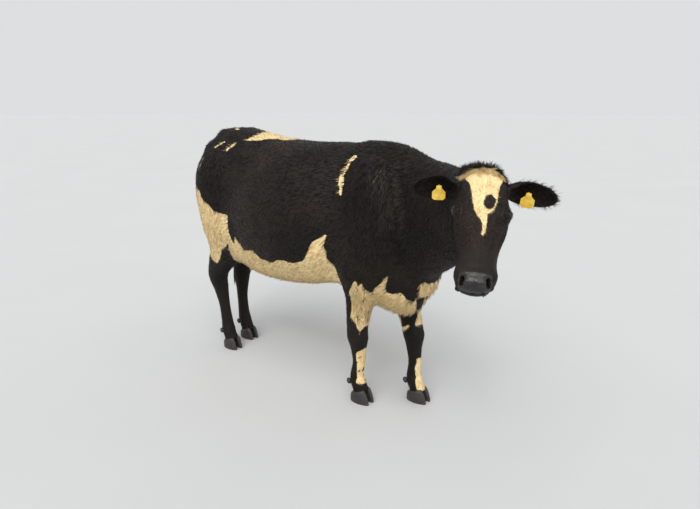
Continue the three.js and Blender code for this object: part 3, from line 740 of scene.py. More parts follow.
def neck_folds(points):
    """Soft folds across the inner side of the bent neck and loose skin along the throat."""
    x, y, z = points.T
    inner = blend_share(-(y + 0.9 * (x - 700)), 60, 170) * (x > 620) * (x < 1130)
    across = 0.62 * x - 0.55 * y + 0.25 * z
    fold = np.sin(across / 19 + 0.9 * np.sin(z / 90))
    height = blend_share(z, 840, 960) * blend_share(-z, -1330, -1220)
    return 2.6 * inner * height * np.maximum(fold, -0.4)


def skin_field(points):
    """Distance from the bare skin under the coat."""
    body = flesh(points) + depth(points) + neck_folds(points)
    body = with_teats(points, body)
    body = above_coronets(points, body)
    return faced(points, body)


def edge_wanted(points):
    """The longest edge wanted at each place on the skin."""
    wanted = np.full(len(points), 18.6)
    wanted[points[:, 2] < 640] = 14
    wanted[points[:, 2] < 130] = 10
    wanted[(points[:, 0] < -830) | (points[:, 0] > HEAD_FROM)] = 13
    near = np.flatnonzero(points[:, 0] > FACE_FROM)
    head_points = local(points[near], HEAD)
    fine = np.full(len(near), 12.0)
    fine[(head_points[:, 0] > -40) & (np.abs(head_points[:, 1]) < 150)] = 8
    fine[head_points[:, 0] > 440] = 4
    lips = (np.abs(head_points[:, 2] - MOUTH_HEIGHT) < 14) & (head_points[:, 0] > MOUTH_FROM - 15)
    fine[lips] = 3.6
    for side in SIDES.values():
        for place, reach, length in ((EYE_PLACE, 46, 4), (EYE_PLACE, 29, 2.4), (NOSTRIL_PLACE, 25, 3)):
            far = np.linalg.norm(head_points - mirrored(place, side), axis=1)
            fine[far < reach] = length
    wanted[near] = fine
    teats = (points[:, 2] < 650) & (points[:, 0] < -380) & (points[:, 0] > -570)
    wanted[teats] = 9
    return wanted


LATTICE_LOW = (-1000, -900, 0)
LATTICE_HIGH = (1600, 500, 1500)
LATTICE_CELL = 24
REFINEMENTS = 5


def body_skin():
    """The skin of the whole cow but its ears, in the cow's frame."""
    points, faces = nets(flesh_with_feet, LATTICE_LOW, LATTICE_HIGH, LATTICE_CELL)
    points = settled(points, faces, flesh_with_feet, 8)
    for step in range(REFINEMENTS):
        points, faces = refined(points, faces, edge_wanted)
        points = evened(points, faces)
        points = settled(points, faces, skin_field, 6)
    for _ in range(2):
        points = evened(points, faces, 0.3)
        points = settled(points, faces, skin_field, 3)
    return points, faces


def flesh_with_feet(points):
    body = flesh(points) + depth(points)
    body = with_teats(points, body)
    return above_coronets(points, body)


# ---- Ears: a cupped shell in the ear's own frame, x along it, y up its edge, z out of its opening.

EAR_COAT = 1.2
EAR_CELL = 3.4
EAR_LOW = (-50, -62, -40)
EAR_HIGH = (196, 62, 50)
EAR_JOIN = 62


def frame_along(start, end, hint):
    """A frame at the start whose x runs to the end and whose z leans towards the hint."""
    x = unit(np.array(end, float) - start)
    y = unit(np.cross(hint, x))
    return np.stack([x, y, np.cross(x, y)], 1), np.array(start, float)


EAR = frame_along(EAR_ROOT, EAR_TIP, EAR_OPENS)
EAR_SHELL = Loft(
    [
        ring(-24, 0, -2, 22, 20, 20),
        ring(8, 0, -1, 30, 26, 27),
        ring(40, 1, 0, 42, 22, 27),
        ring(82, 2, 0, 49, 16, 24),
        ring(120, -1, -2, 45, 11, 19),
        ring(152, -4, -2, 37, 8, 13),
        ring(174, -6, 0, 24, 5, 8),
        ring(185, -7, 1, 8, 3, 3),
    ]
)
EAR_HOLLOW = Loft(
    [
        ring(24, 3, 8, 16, 30, 10),
        ring(46, 2, 4, 34, 34, 15.5),
        ring(84, 2, 2, 42, 34, 16),
        ring(120, -1, 0, 38, 34, 11),
        ring(148, -4, 0, 30, 34, 8.5),
        ring(168, -6, 2, 16, 30, 5),
    ]
)


def ear_field(points):
    """The ear's skin, with ridges of gristle inside its hollow."""
    hollow = EAR_HOLLOW.distance(points) - EAR_COAT / 2
    ridges = 1.6 * np.cos(points[:, 1] / 5.2) * blend_share(-points[:, 0], -150, -60)
    return carved(EAR_SHELL.distance(points) + EAR_COAT, hollow + ridges, 4)


def from_ear(points, side):
    """Places in the frame of one ear, in the cow's frame."""
    return from_local(mirrored(from_local(points, EAR), side), HEAD)


def ear_axis(side, direction):
    """A direction in the frame of one ear, in the cow's frame."""
    return from_ear(direction, side) - from_ear([[0, 0, 0]], side)


def ear_skin(side):
    """One ear's closed skin in the cow's frame."""
    points, faces = nets(ear_field, EAR_LOW, EAR_HIGH, EAR_CELL)
    for _ in range(2):
        points = settled(points, faces, ear_field, 1.5)
        points = evened(points, faces)
    points = settled(points, faces, ear_field, 1.5)
    if side < 0:
        faces = faces[:, ::-1]
    return from_ear(points, side), faces


# ---- Markings: white patches as outlines seen from the side, streaks and spots, in millimetres. One thin streak on the rear outline is a painted highlight, not a marking.

RIGHT_THIGH = [
    (-760, 1120), (-691, 1085), (-662, 1032), (-600, 1010), (-561, 973), (-480, 972), (-415, 968),
    (-403, 879), (-372, 794), (-454, 794), (-530, 745), (-574, 727), (-620, 660), (-673, 612),
    (-719, 624), (-800, 700), (-830, 900),
]
RIGHT_BELLY = [
    (-560, 560), (-480, 745), (-425, 800), (-372, 794), (-350, 850), (-325, 820), (-267, 788),
    (-190, 806), (-131, 808), (-93, 773), (5, 765), (60, 790), (109, 796), (152, 784), (236, 814),
    (268, 860), (295, 918), (341, 947), (371, 968), (352, 905), (368, 874), (356, 839), (386, 794),
    (384, 720), (400, 560), (0, 400), (-500, 400),
]
LEFT_BELLY = [
    (-560, 560), (-470, 740), (-400, 770), (-350, 830), (-290, 860), (-210, 830), (-150, 770),
    (-60, 760), (20, 800), (80, 880), (130, 905), (170, 850), (250, 800), (330, 820), (400, 760),
    (420, 700), (400, 560), (0, 400), (-500, 400),
]
LEFT_THIGH = [
    (-770, 1010), (-700, 1000), (-640, 930), (-560, 900), (-470, 830), (-430, 780), (-520, 700),
    (-600, 640), (-690, 600), (-800, 640), (-830, 800),
]
LEFT_FLANK = [
    (-560, 1500), (-120, 1500), (-140, 1390), (-95, 1300), (-60, 1190), (-110, 1090), (-170, 1060),
    (-230, 1110), (-262, 1230), (-330, 1330), (-480, 1380), (-560, 1430),
]
SADDLE = [
    (-413, -135), (-388, -104), (-376, -68), (-400, -12), (-420, 80), (-330, 160), (-150, 100),
    (-120, -30), (-163, -71), (-252, -64), (-284, -94), (-324, -122), (-377, -134),
]
RIGHT_FOREARM = [
    (435, 518), (452, 560), (460, 616), (455, 665), (490, 705), (518, 748), (538, 722), (556, 740),
    (560, 700), (600, 674), (640, 600), (600, 470), (512, 476), (499, 466), (474, 425), (468, 480),
]
LEFT_FOREARM = [
    (560, 470), (575, 560), (560, 640), (600, 690), (640, 660), (700, 640), (800, 640), (790, 570),
    (740, 455), (660, 436), (620, 410), (600, 450),
]
BRISKET = [
    (540, 560), (560, 600), (572, 634), (605, 711), (653, 754), (673, 781), (690, 800), (664, 741),
    (649, 694), (684, 684), (720, 698), (733, 676), (737, 651), (753, 642), (779, 672), (814, 754),
    (830, 764), (832, 730), (900, 740), (900, 600), (700, 490), (540, 500),
]
RIGHT_CANNON = [
    (440, 118), (438, 240), (437, 296), (468, 317), (480, 328), (560, 328), (560, 112), (470, 112),
]
LEFT_CANNON = [(684, 256), (672, 200), (690, 85), (720, 62), (800, 62), (800, 250)]
BLAZE = [
    (-9, -96), (-4, -78), (12, -48), (6, -34), (14, -20), (4, -8), (13, 6), (8, 20), (21, 42), (21, 70),
    (55, 66), (90, 56), (125, 51), (169, 51), (209, 39), (229, 20), (265, 20), (297, 19), (314, 11),
    (311, 4), (290, 6), (267, 6), (244, -6), (225, -20), (189, -31), (151, -39), (91, -52), (41, -75),
]
STREAKS = [
    ([(430, -146, 1346), (417, -160, 1330)], 13),
    ([(417, -160, 1330), (412, -193, 1289), (407, -213, 1255)], 8),
    ([(404, -219, 1246), (409, -227, 1215)], 15),
    ([(411, -230, 1210), (414, -243, 1166)], 10),
    ([(625, -173, 1311), (617, -208, 1267), (606, -238, 1222)], 5),
    ([(-628, -203, 1350), (-597, -190, 1368), (-569, -172, 1383)], 9),
    ([(-521, -198, 1339), (-501, -183, 1356), (-479, -162, 1378)], 10),
    # Painted highlight: a thin white stripe along the rear outline of the right thigh, where a bright edge
    # of light falls.
    ([(-696, -278, 1214), (-698, -255, 1255), (-700, -232, 1294)], 5),
    ([(-703, -128, 260), (-697, -126, 230), (-664, -106, 116)], 5),
    ([(560, 100, 480), (566, 94, 400), (598, 74, 412), (626, 72, 435)], 9),
    ([(735, -75, 1366), (738, -76, 1366)], 6),
    ([(768, -92, 1356), (771, -93, 1356)], 5),
]
SPOTS = [
    ((-735, 58, 135), (44, 44, 34)),
    ((-554, -76, 1461), (22, 16, 14)),
    ((250, 350, 1120), (38, 60, 26)),
]


def polygon_depth(x, y, outline):
    """Distance in from an outline, below zero outside it."""
    corners = np.array(outline, float)
    closing = np.roll(corners, -1, axis=0)
    place = np.stack([x, y], 1)
    nearest = np.full(len(x), 1e9)
    inside = np.zeros(len(x), bool)
    for start, end in zip(corners, closing):
        run = end - start
        off = place - start
        share = np.clip((off @ run) / (run @ run), 0, 1)
        nearest = np.minimum(nearest, np.linalg.norm(off - share[:, None] * run, axis=1))
        if start[1] != end[1]:
            between = (start[1] > y) != (end[1] > y)
            crossing = start[0] + (y - start[1]) * run[0] / run[1]
            inside ^= between & (x < crossing)
    return np.where(inside, nearest, -nearest)


def streak_depth(points, path, radius):
    """Distance in from a streak of even width along its path."""
    deepest = np.full(len(points), -1e9)
    path = np.array(path, float)
    for start, end in zip(path[:-1], path[1:]):
        run = end - start
        share = np.clip(((points - start) @ run) / (run @ run), 0, 1)
        far = np.linalg.norm(points - start - share[:, None] * run, axis=1)
        deepest = np.maximum(deepest, radius - far)
    return deepest


def spot_depth(points, place, halves):
    return (1 - np.linalg.norm((points - place) / halves, axis=1)) * min(halves)


def white_depth(points):
    """How far each point lies inside the white of the coat, below zero in the black."""
    x, y, z = points.T
    right, left = -y, y
    parts = [
        np.minimum(polygon_depth(x, z, RIGHT_THIGH), right - 110),
        np.minimum(polygon_depth(x, z, RIGHT_BELLY), right + 30),
        np.minimum(polygon_depth(x, z, LEFT_THIGH), left - 110),
        np.minimum(polygon_depth(x, z, LEFT_BELLY), left + 30),
        np.minimum(polygon_depth(x, z, LEFT_FLANK), left - 60),
        np.minimum(polygon_depth(x, y, SADDLE), z - 1300),
        np.minimum(polygon_depth(x, z, RIGHT_FOREARM), right - 70),
        np.minimum(polygon_depth(x, z, LEFT_FOREARM), left - np.interp(z, (450, 507, 625), (92, 120, 0))),
        np.minimum(polygon_depth(x, z, RIGHT_CANNON), right - 60),
        np.minimum(polygon_depth(x, z, LEFT_CANNON), y - 70),
    ]
    chest = np.where(z < 664, -76 + 0.75 * (664 - z) - y, 60 - y)
    parts.append(np.minimum(polygon_depth(x, z, BRISKET), np.minimum(chest, y + 260)))
    parts += [streak_depth(points, path, radius) for path, radius in STREAKS]
    parts += [spot_depth(points, place, halves) for place, halves in SPOTS]
    white = np.max(parts, axis=0)
    black_legs = np.minimum(LEGS["hind_right"].distance(points), LEGS["hind_left"].distance(points))
    inner_leg = np.minimum(12 - black_legs, 640 - z)
    white = np.where(inner_leg > 0, np.minimum(white, np.max(parts[:1] + parts[2:3], axis=0)), white)
    head_points = local(points, HEAD)
    on_head = (points[:, 0] > HEAD_FROM) & (head_points[:, 0] > -70)
    blaze = polygon_depth(head_points[:, 0], head_points[:, 1], BLAZE)
    oval = np.hypot((head_points[:, 0] - 172) / 33, (head_points[:, 1] - 23) / 20)
    blaze = np.minimum(np.minimum(blaze, (oval - 1) * 20), head_points[:, 2] + 78)
    switch = blend_share(-z, -620, -560) * 60 - 30
    white = np.where(x < -850, switch, white)
    return np.where(on_head, blaze, white)


def speckle_mask(points):
    """Where dark specks break up the white: the cannon and the forearm of the right foreleg."""
    x, y, z = points.T
    on_cannon = polygon_depth(x, z, RIGHT_CANNON) + 20
    on_forearm = polygon_depth(x, z, RIGHT_FOREARM) - 4
    near = (y < -60) & (x > 380) & (x < 660)
    return np.where(near, np.clip(np.maximum(on_cannon / 20, on_forearm / 30), 0, 1), 0)


def bare_mask(points):
    """Bare skin: 1 on the wet muzzle, and how far the lids and nostrils are free of hair."""
    head_points = local(points, HEAD)
    x, y, z = head_points.T
    pad = blend_share(x + 0.25 * np.abs(z + 84), 470, 486) * blend_share(-np.abs(y), -62, -46)
    pad = pad * blend_share(z, -134, -122) * (points[:, 0] > FACE_FROM)
    lower = blend_share(x, 484, 492) * blend_share(-z, 126, 134) * blend_share(-np.abs(y), -40, -30)
    mask = np.maximum(pad, 0.6 * lower * (points[:, 0] > FACE_FROM))
    for side in SIDES.values():
        off = head_points - mirrored(EYE_PLACE, side)
        far = np.linalg.norm(off, axis=1)
        rim = blend_share(-eye_opening(head_points, side), -4.5, -2) * (far < 32)
        mask = np.maximum(mask, 0.9 * rim)
    return mask


def udder_mask(points):
    """The thin yellowish skin of the udder and teats."""
    near = UDDER.distance(points)
    low = blend_share(-points[:, 2], -720, -640)
    return blend_share(-near, -30, -4) * low * (points[:, 0] < -300) * (points[:, 0] > -640)


# ---- From the cow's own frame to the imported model's frame.


def middle_of(node):
    low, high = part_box(node)
    return (np.array(low) + np.array(high)) / 2


SHIFT = from_local(EYE_PLACE, HEAD) - 1000 * middle_of("left_eye")


def placed(points):
    """Millimetres in the cow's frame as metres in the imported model's frame."""
    return (np.asarray(points, float) - SHIFT) / 1000


def mesh_object(name, points, faces, smooth=True):
    """A plain mesh object at the origin, in metres."""
    mesh = bpy.data.meshes.new(name)
    mesh.vertices.add(len(points))
    mesh.vertices.foreach_set("co", np.asarray(points, np.float32).ravel())
    mesh.loops.add(faces.size)
    mesh.loops.foreach_set("vertex_index", faces.astype(np.int32).ravel())
    mesh.polygons.add(len(faces))
    mesh.polygons.foreach_set("loop_start", np.arange(0, faces.size, 3, dtype=np.int32))
    mesh.update(calc_edges=True)
    mesh.validate()
    if smooth:
        mesh.polygons.foreach_set("use_smooth", np.ones(len(mesh.polygons), bool))
    piece = bpy.data.objects.new(name, mesh)
    bpy.context.scene.collection.objects.link(piece)
    return piece


def attribute(piece, name, values):
    """Stores a number or a vector for each point of a piece."""
    kind = "FLOAT_VECTOR" if values.ndim == 2 else "FLOAT"
    made = piece.data.attributes.new(name, kind, "POINT")
    made.data.foreach_set("vector" if values.ndim == 2 else "value", values.astype(np.float32).ravel())


# ---- Node helpers and shader groups


def linear(colour):
    """A colour typed as it looks on a screen, as the linear one that a shader reads."""
    return tuple(c / 12.92 if c <= 0.04045 else ((c + 0.055) / 1.055) ** 2.4 for c in colour)


class Wiring:
    """Adds nodes to a tree and joins their sockets by name or number."""

    def __init__(self, tree):
        self.tree = tree

    def add(self, kind, inputs=None, **settings):
        node = self.tree.nodes.new(kind)
        for name, value in settings.items():
            setattr(node, name, value)
        for name, value in (inputs or {}).items():
            self.feed(node, name, value)
        return node

    def feed(self, node, name, value):
        socket = node.inputs[name]
        if isinstance(value, bpy.types.NodeSocket):
            self.tree.links.new(value, socket)
        elif isinstance(value, bpy.types.Node):
            self.tree.links.new(value.outputs[0], socket)
        else:
            socket.default_value = value

    def math(self, operation, first, second=0.0):
        return self.add("ShaderNodeMath", {0: first, 1: second}, operation=operation).outputs[0]

    def times(self, first, second):
        return self.math("MULTIPLY", first, second)

    def plus(self, first, second):
        return self.math("ADD", first, second)

    def less(self, first, second):
        return self.math("SUBTRACT", first, second)

    def vector(self, operation, first, second):
        return self.add("ShaderNodeVectorMath", {0: first, 1: second}, operation=operation).outputs[0]

    def scaled(self, vector, scale):
        node = self.add("ShaderNodeVectorMath", {0: vector, "Scale": scale}, operation="SCALE")
        return node.outputs[0]

    def mix(self, factor, first, second, blend="MIX"):
        node = self.add("ShaderNodeMix", data_type="RGBA", blend_type=blend)
        for name, value in (("Factor_Float", factor), ("A_Color", first), ("B_Color", second)):
            socket = next(s for s in node.inputs if s.identifier == name)
            if isinstance(value, bpy.types.NodeSocket):
                self.tree.links.new(value, socket)
            elif name == "Factor_Float":
                socket.default_value = value
            else:
                socket.default_value = (*value[:3], 1)
        return next(s for s in node.outputs if s.identifier == "Result_Color")

    def noise(self, vector, scale, detail=3.0, roughness=0.55):
        return self.add(
            "ShaderNodeTexNoise",
            {"Vector": vector, "Scale": scale, "Detail": detail, "Roughness": roughness},
        ).outputs["Fac"]

    def ramp(self, value, start, end):
        """An even step from 0 to 1 between two values."""
        node = self.add("ShaderNodeMapRange", {"Value": value, "From Min": start, "From Max": end})
        node.interpolation_type = "SMOOTHSTEP"
        return node.outputs["Result"]

    def named(self, name):
        return self.add("ShaderNodeAttribute", attribute_name=name)


def shader_group(name, inputs, outputs):
    """An empty shader group with its sockets; each is a name, a kind and a first value."""
    group = bpy.data.node_groups.new(name, "ShaderNodeTree")
    for socket, kind, value in inputs:
        made = group.interface.new_socket(socket, in_out="INPUT", socket_type=kind)
        if value is not None:
            made.default_value = value
    for socket, kind in outputs:
        group.interface.new_socket(socket, in_out="OUTPUT", socket_type=kind)
    wiring = Wiring(group)
    return wiring, wiring.add("NodeGroupInput"), wiring.add("NodeGroupOutput")


def coat_pattern_group():
    """Black or white of the coat from the depth inside the white, ragged as hair makes it."""
    wiring, given, out = shader_group(
        "CoatPattern",
        [
            ("White Depth", "NodeSocketFloat", 0.0),
            ("Speckle", "NodeSocketFloat", 0.0),
            ("Ragged", "NodeSocketFloat", 5.0),
            ("Place", "NodeSocketVector", None),
            ("Black", "NodeSocketColor", (0.01, 0.01, 0.01, 1)),
            ("White", "NodeSocketColor", (0.8, 0.7, 0.5, 1)),
        ],
        [("Colour", "NodeSocketColor"), ("White Share", "NodeSocketFloat")],
    )
    place = given.outputs["Place"]
    coarse = wiring.noise(place, 34.0, 2.0)
    fine = wiring.noise(place, 150.0, 3.0, 0.7)
    shift = wiring.plus(wiring.times(coarse, 1.4), fine)
    shift = wiring.less(shift, 1.2)
    shift = wiring.times(shift, wiring.times(given.outputs["Ragged"], 2.0))
    depth_value = wiring.plus(given.outputs["White Depth"], shift)
    share = wiring.ramp(depth_value, -1.6, 1.6)
    speck = wiring.ramp(wiring.noise(place, 52.0, 2.0, 0.5), 0.6, 0.66)
    specks = wiring.times(speck, given.outputs["Speckle"])
    share = wiring.times(share, wiring.less(1.0, specks))
    broad = wiring.noise(place, 3.2, 3.0)
    patchy = wiring.noise(place, 17.0, 4.0, 0.65)
    faded = wiring.ramp(broad, 0.42, 0.72)
    black = wiring.mix(faded, given.outputs["Black"], linear((0.15, 0.115, 0.095)))
    paler = wiring.ramp(patchy, 0.35, 0.75)
    white = wiring.mix(paler, given.outputs["White"], linear((0.86, 0.75, 0.54)))
    wiring.feed(out, "Colour", wiring.mix(share, black, white))
    wiring.feed(out, "White Share", share)
    return wiring.tree


def hair_lie_group():
    """Height of fine hair, drawn out along the lie of the coat."""
    wiring, given, out = shader_group(
        "HairLie",
        [("Lie Place", "NodeSocketVector", None), ("Fineness", "NodeSocketFloat", 1.0)],
        [("Height", "NodeSocketFloat"), ("Shade", "NodeSocketFloat")],
    )
    place = given.outputs["Lie Place"]
    fine = wiring.noise(wiring.vector("MULTIPLY", place, (900.0, 900.0, 110.0)), 1.0, 2.0, 0.6)
    clump = wiring.noise(wiring.vector("MULTIPLY", place, (150.0, 150.0, 34.0)), 1.0, 3.0, 0.6)
    fine = wiring.times(fine, 0.55)
    wiring.feed(out, "Height", wiring.plus(fine, wiring.times(clump, 0.8)))
    wiring.feed(out, "Shade", wiring.ramp(clump, 0.3, 0.72))
    return wiring.tree


def new_material(name):
    """A new material's wiring and its shader."""
    material = bpy.data.materials.new(name)
    material.use_nodes = True
    return Wiring(material.node_tree), material.node_tree.nodes["Principled BSDF"]


def object_place(wiring):
    return wiring.add("ShaderNodeTexCoord").outputs["Object"]


def bump(wiring, shader, height, distance, strength=1.0):
    node = wiring.add("ShaderNodeBump", {"Height": height, "Distance": distance, "Strength": strength})
    wiring.feed(shader, "Normal", node.outputs["Normal"])


def coat_colour(wiring, settings, ragged):
    """The coat's colour from the attributes that skin and tufts both carry."""
    group = wiring.add("ShaderNodeGroup", node_tree=bpy.data.node_groups["CoatPattern"])
    wiring.feed(group, "White Depth", wiring.named("white").outputs["Fac"])
    wiring.feed(group, "Speckle", wiring.named("speckle").outputs["Fac"])
    wiring.feed(group, "Place", wiring.named("root").outputs["Vector"])
    wiring.feed(group, "Ragged", ragged)
    wiring.feed(group, "Black", (*settings.black, 1))
    wiring.feed(group, "White", (*settings.white, 1))
    return group


def skin_material(settings, name, gloss_level, wet_coat):
    """Short flat hair, wet muzzle, bare lids and the thin skin of the udder."""
    wiring, shader = new_material(name)
    pattern = coat_colour(wiring, settings, 4.0)
    lie = wiring.add("ShaderNodeGroup", node_tree=bpy.data.node_groups["HairLie"])
    wiring.feed(lie, "Lie Place", wiring.named("lie_place").outputs["Vector"])
    shade = wiring.times(lie.outputs["Shade"], 0.25)
    shaded = wiring.mix(shade, pattern.outputs["Colour"], (0.55, 0.5, 0.45), "MULTIPLY")
    place = object_place(wiring)
    bare = wiring.named("bare").outputs["Fac"]
    udder = wiring.named("udder").outputs["Fac"]
    pores = wiring.add(
        "ShaderNodeTexVoronoi",
        {"Vector": place, "Scale": 260.0, "Randomness": 0.9},
        feature="DISTANCE_TO_EDGE",
    ).outputs["Distance"]
    blotch = wiring.ramp(wiring.noise(place, 60.0, 3.0), 0.35, 0.7)
    wet = wiring.mix(blotch, linear((0.075, 0.062, 0.062)), linear((0.15, 0.125, 0.118)))
    thin = wiring.mix(blotch, linear(settings.udder_tone), linear((0.80, 0.66, 0.46)))
    colour = wiring.mix(udder, shaded, thin)
    wiring.feed(shader, "Base Color", wiring.mix(bare, colour, wet))
    damp = wiring.ramp(wiring.noise(place, 35.0, 2.0), 0.3, 0.7)
    gloss = wiring.plus(wiring.times(damp, 0.12), 0.2)
    dull = wiring.plus(wiring.times(lie.outputs["Shade"], 0.12), 0.5)
    keep = wiring.less(1.0, bare)
    rough = wiring.plus(wiring.times(gloss, bare), wiring.times(dull, keep))
    wiring.feed(shader, "Roughness", rough)
    hair = wiring.times(wiring.times(lie.outputs["Height"], 0.0016), keep)
    leather = wiring.times(wiring.ramp(pores, 0.0, 0.22), 0.0009)
    height = wiring.plus(hair, wiring.times(leather, bare))
    bump(wiring, shader, height, 1.0, 0.8)
    shader.inputs["Specular IOR Level"].default_value = gloss_level
    shader.inputs["Coat Weight"].default_value = wet_coat
    shader.inputs["Coat Roughness"].default_value = 0.12


def hair_material(settings):
    """Tufts: the skin's own colours, a little lighter and darker from lock to lock."""
    wiring, shader = new_material("CoatHair")
    pattern = coat_colour(wiring, settings, 4.0)
    tone = wiring.named("tone").outputs["Fac"]
    shade = wiring.times(tone, 0.34)
    darker = wiring.mix(shade, pattern.outputs["Colour"], (0.45, 0.39, 0.32), "MULTIPLY")
    wiring.feed(shader, "Base Color", darker)
    wiring.feed(shader, "Roughness", wiring.plus(wiring.times(tone, 0.2), 0.42))
    shader.inputs["Specular IOR Level"].default_value = 0.17
    shader.inputs["Sheen Weight"].default_value = 0.03
    shader.inputs["Sheen Roughness"].default_value = 0.4
    shader.inputs["Sheen Tint"].default_value = (0.85, 0.7, 0.6, 1)


PUPIL_HALVES = (8.5, 4.2)
IRIS_RADIUS = 13.9


def eye_material():
    """A wet dark brown eye with a pupil drawn out along the slit."""
    wiring, shader = new_material("EyeWet")
    place = wiring.named("iris").outputs["Vector"]
    split = wiring.add("ShaderNodeSeparateXYZ", {"Vector": place})
    x, y = split.outputs["X"], split.outputs["Y"]
    squared = wiring.plus(wiring.math("POWER", x, 2.0), wiring.math("POWER", y, 2.0))
    far = wiring.math("SQRT", squared)
    wide = wiring.math("POWER", wiring.math("DIVIDE", x, PUPIL_HALVES[0]), 2.0)
    high = wiring.math("POWER", wiring.math("DIVIDE", y, PUPIL_HALVES[1]), 2.0)
    pupil = wiring.ramp(wiring.plus(wide, high), 1.25, 0.85)
    streaks = wiring.noise(place, 0.9, 4.0, 0.7)
    iris = wiring.mix(streaks, linear((0.07, 0.045, 0.035)), linear((0.17, 0.10, 0.07)))
    rim = wiring.ramp(far, IRIS_RADIUS - 0.7, IRIS_RADIUS + 0.7)
    ball = wiring.mix(rim, iris, linear((0.11, 0.09, 0.085)))
    wiring.feed(shader, "Base Color", wiring.mix(pupil, ball, linear((0.02, 0.02, 0.03))))
    wiring.feed(shader, "Roughness", wiring.plus(wiring.times(rim, 0.12), 0.06))
    shader.inputs["Specular IOR Level"].default_value = 0.15
    shader.inputs["Coat Weight"].default_value = 0.35
    shader.inputs["Coat Roughness"].default_value = 0.03


def horn_material(settings):
    """Dark horn with growth rings, duller and paler towards the floor."""
    wiring, shader = new_material("ClawHorn")
    place = object_place(wiring)
    split = wiring.add("ShaderNodeSeparateXYZ", {"Vector": place})
    wobble = wiring.times(wiring.noise(place, 22.0, 3.0), 0.012)
    height = wiring.plus(split.outputs["Z"], wobble)
    rings = wiring.math("SINE", wiring.times(height, 950.0))
    cracks = wiring.noise(place, 180.0, 4.0, 0.7)
    worn = wiring.ramp(split.outputs["Z"], 0.03, 0.0)
    dirt = wiring.ramp(wiring.noise(place, 40.0, 4.0, 0.6), 0.4, 0.7)
    worn_through = wiring.ramp(cracks, 0.3, 0.75)
    dark = wiring.mix(worn_through, linear(settings.horn), linear((0.21, 0.195, 0.19)))
    mud = wiring.times(wiring.math("MAXIMUM", worn, 0.25), dirt)
    wiring.feed(shader, "Base Color", wiring.mix(mud, dark, linear((0.26, 0.22, 0.18))))
    wiring.feed(shader, "Roughness", wiring.plus(wiring.times(cracks, 0.3), 0.34))
    rings = wiring.times(rings, 0.00035)
    ridges = wiring.plus(rings, wiring.times(cracks, 0.0007))
    bump(wiring, shader, ridges, 1.0, 0.9)


def tag_material(settings):
    """Soft yellow plastic, scuffed and a little faded."""
    wiring, shader = new_material("TagPlastic")
    place = object_place(wiring)
    scuffs = wiring.noise(place, 120.0, 5.0, 0.7)
    fade = wiring.noise(place, 28.0, 2.0)
    clean = wiring.mix(wiring.ramp(fade, 0.35, 0.7), linear(settings.tag), linear((0.93, 0.80, 0.36)))
    scuffed = wiring.mix(wiring.ramp(scuffs, 0.58, 0.75), clean, linear((0.45, 0.36, 0.16)))
    wiring.feed(shader, "Base Color", scuffed)
    wiring.feed(shader, "Roughness", wiring.plus(wiring.times(scuffs, 0.3), 0.3))
    bump(wiring, shader, wiring.times(scuffs, 0.0004), 1.0, 0.6)


def floor_material(settings):
    """The pale floor of a studio, a little uneven in tone."""
    wiring, shader = new_material("StudioFloor")
    place = object_place(wiring)
    tone = wiring.ramp(wiring.noise(place, 0.7, 3.0), 0.2, 0.8)
    pale = linear(settings.floor)
    wiring.feed(shader, "Base Color", wiring.mix(tone, pale, tuple(c * 0.97 for c in pale)))
    shader.inputs["Roughness"].default_value = 0.85


# ---- Pieces

FLESH_NODES = [
    "head", "neck", "trunk", "udder", "tail", "left_ear", "right_ear",
    *[f"{end}_{side}_teat" for end in ("fore", "rear") for side in SIDES],
    *[f"{foot}_{part}_leg" for foot in FEET for part in ("upper", "lower")],
]
MOULD = {}


def arrays_of(mesh):
    """The points and triangles of a mesh."""
    mesh.calc_loop_triangles()
    points = np.empty(len(mesh.vertices) * 3, np.float32)
    mesh.vertices.foreach_get("co", points)
    faces = np.empty(len(mesh.loop_triangles) * 3, np.int32)
    mesh.loop_triangles.foreach_get("vertices", faces)
    return points.reshape(-1, 3).astype(float), faces.reshape(-1, 3).astype(int)


def plain_mesh(piece):
    """A piece with its modifiers worked into a mesh of its own, and then taken off."""
    shown = piece.evaluated_get(bpy.context.evaluated_depsgraph_get())
    mesh = bpy.data.meshes.new_from_object(shown)
    piece.modifiers.clear()
    old = piece.data
    piece.data = mesh
    bpy.data.meshes.remove(old)
    mesh.name = piece.name
    return mesh


def united(bodies):
    """Closed meshes joined into one closed mesh."""
    pieces = [mesh_object(f"part_{i}", points, faces) for i, (points, faces) in enumerate(bodies)]
    for other in pieces[1:]:
        join = pieces[0].modifiers.new("join", "BOOLEAN")
        join.operation = "UNION"
        join.solver = "EXACT"
        join.object = other
    points, faces = arrays_of(plain_mesh(pieces[0]))
    for piece in pieces:
        bpy.data.meshes.remove(piece.data)
    return points, faces


def softened(points, faces, centre, reach, rounds=6):
    """Rounds off the crease where a part was joined on, fading out with distance."""
    share = 1 - blend_share(np.linalg.norm(points - centre, axis=1), reach * 0.6, reach)
    edges, _ = edges_of(faces, len(points))
    both = np.r_[edges[:, 0], edges[:, 1]]
    other = np.r_[edges[:, 1], edges[:, 0]]
    count = np.bincount(both, minlength=len(points))[:, None]
    for _ in range(rounds):
        total = np.stack([np.bincount(both, points[other, k], len(points)) for k in range(3)], 1)
        points = points + 0.5 * share[:, None] * (total / count - points)
    return points


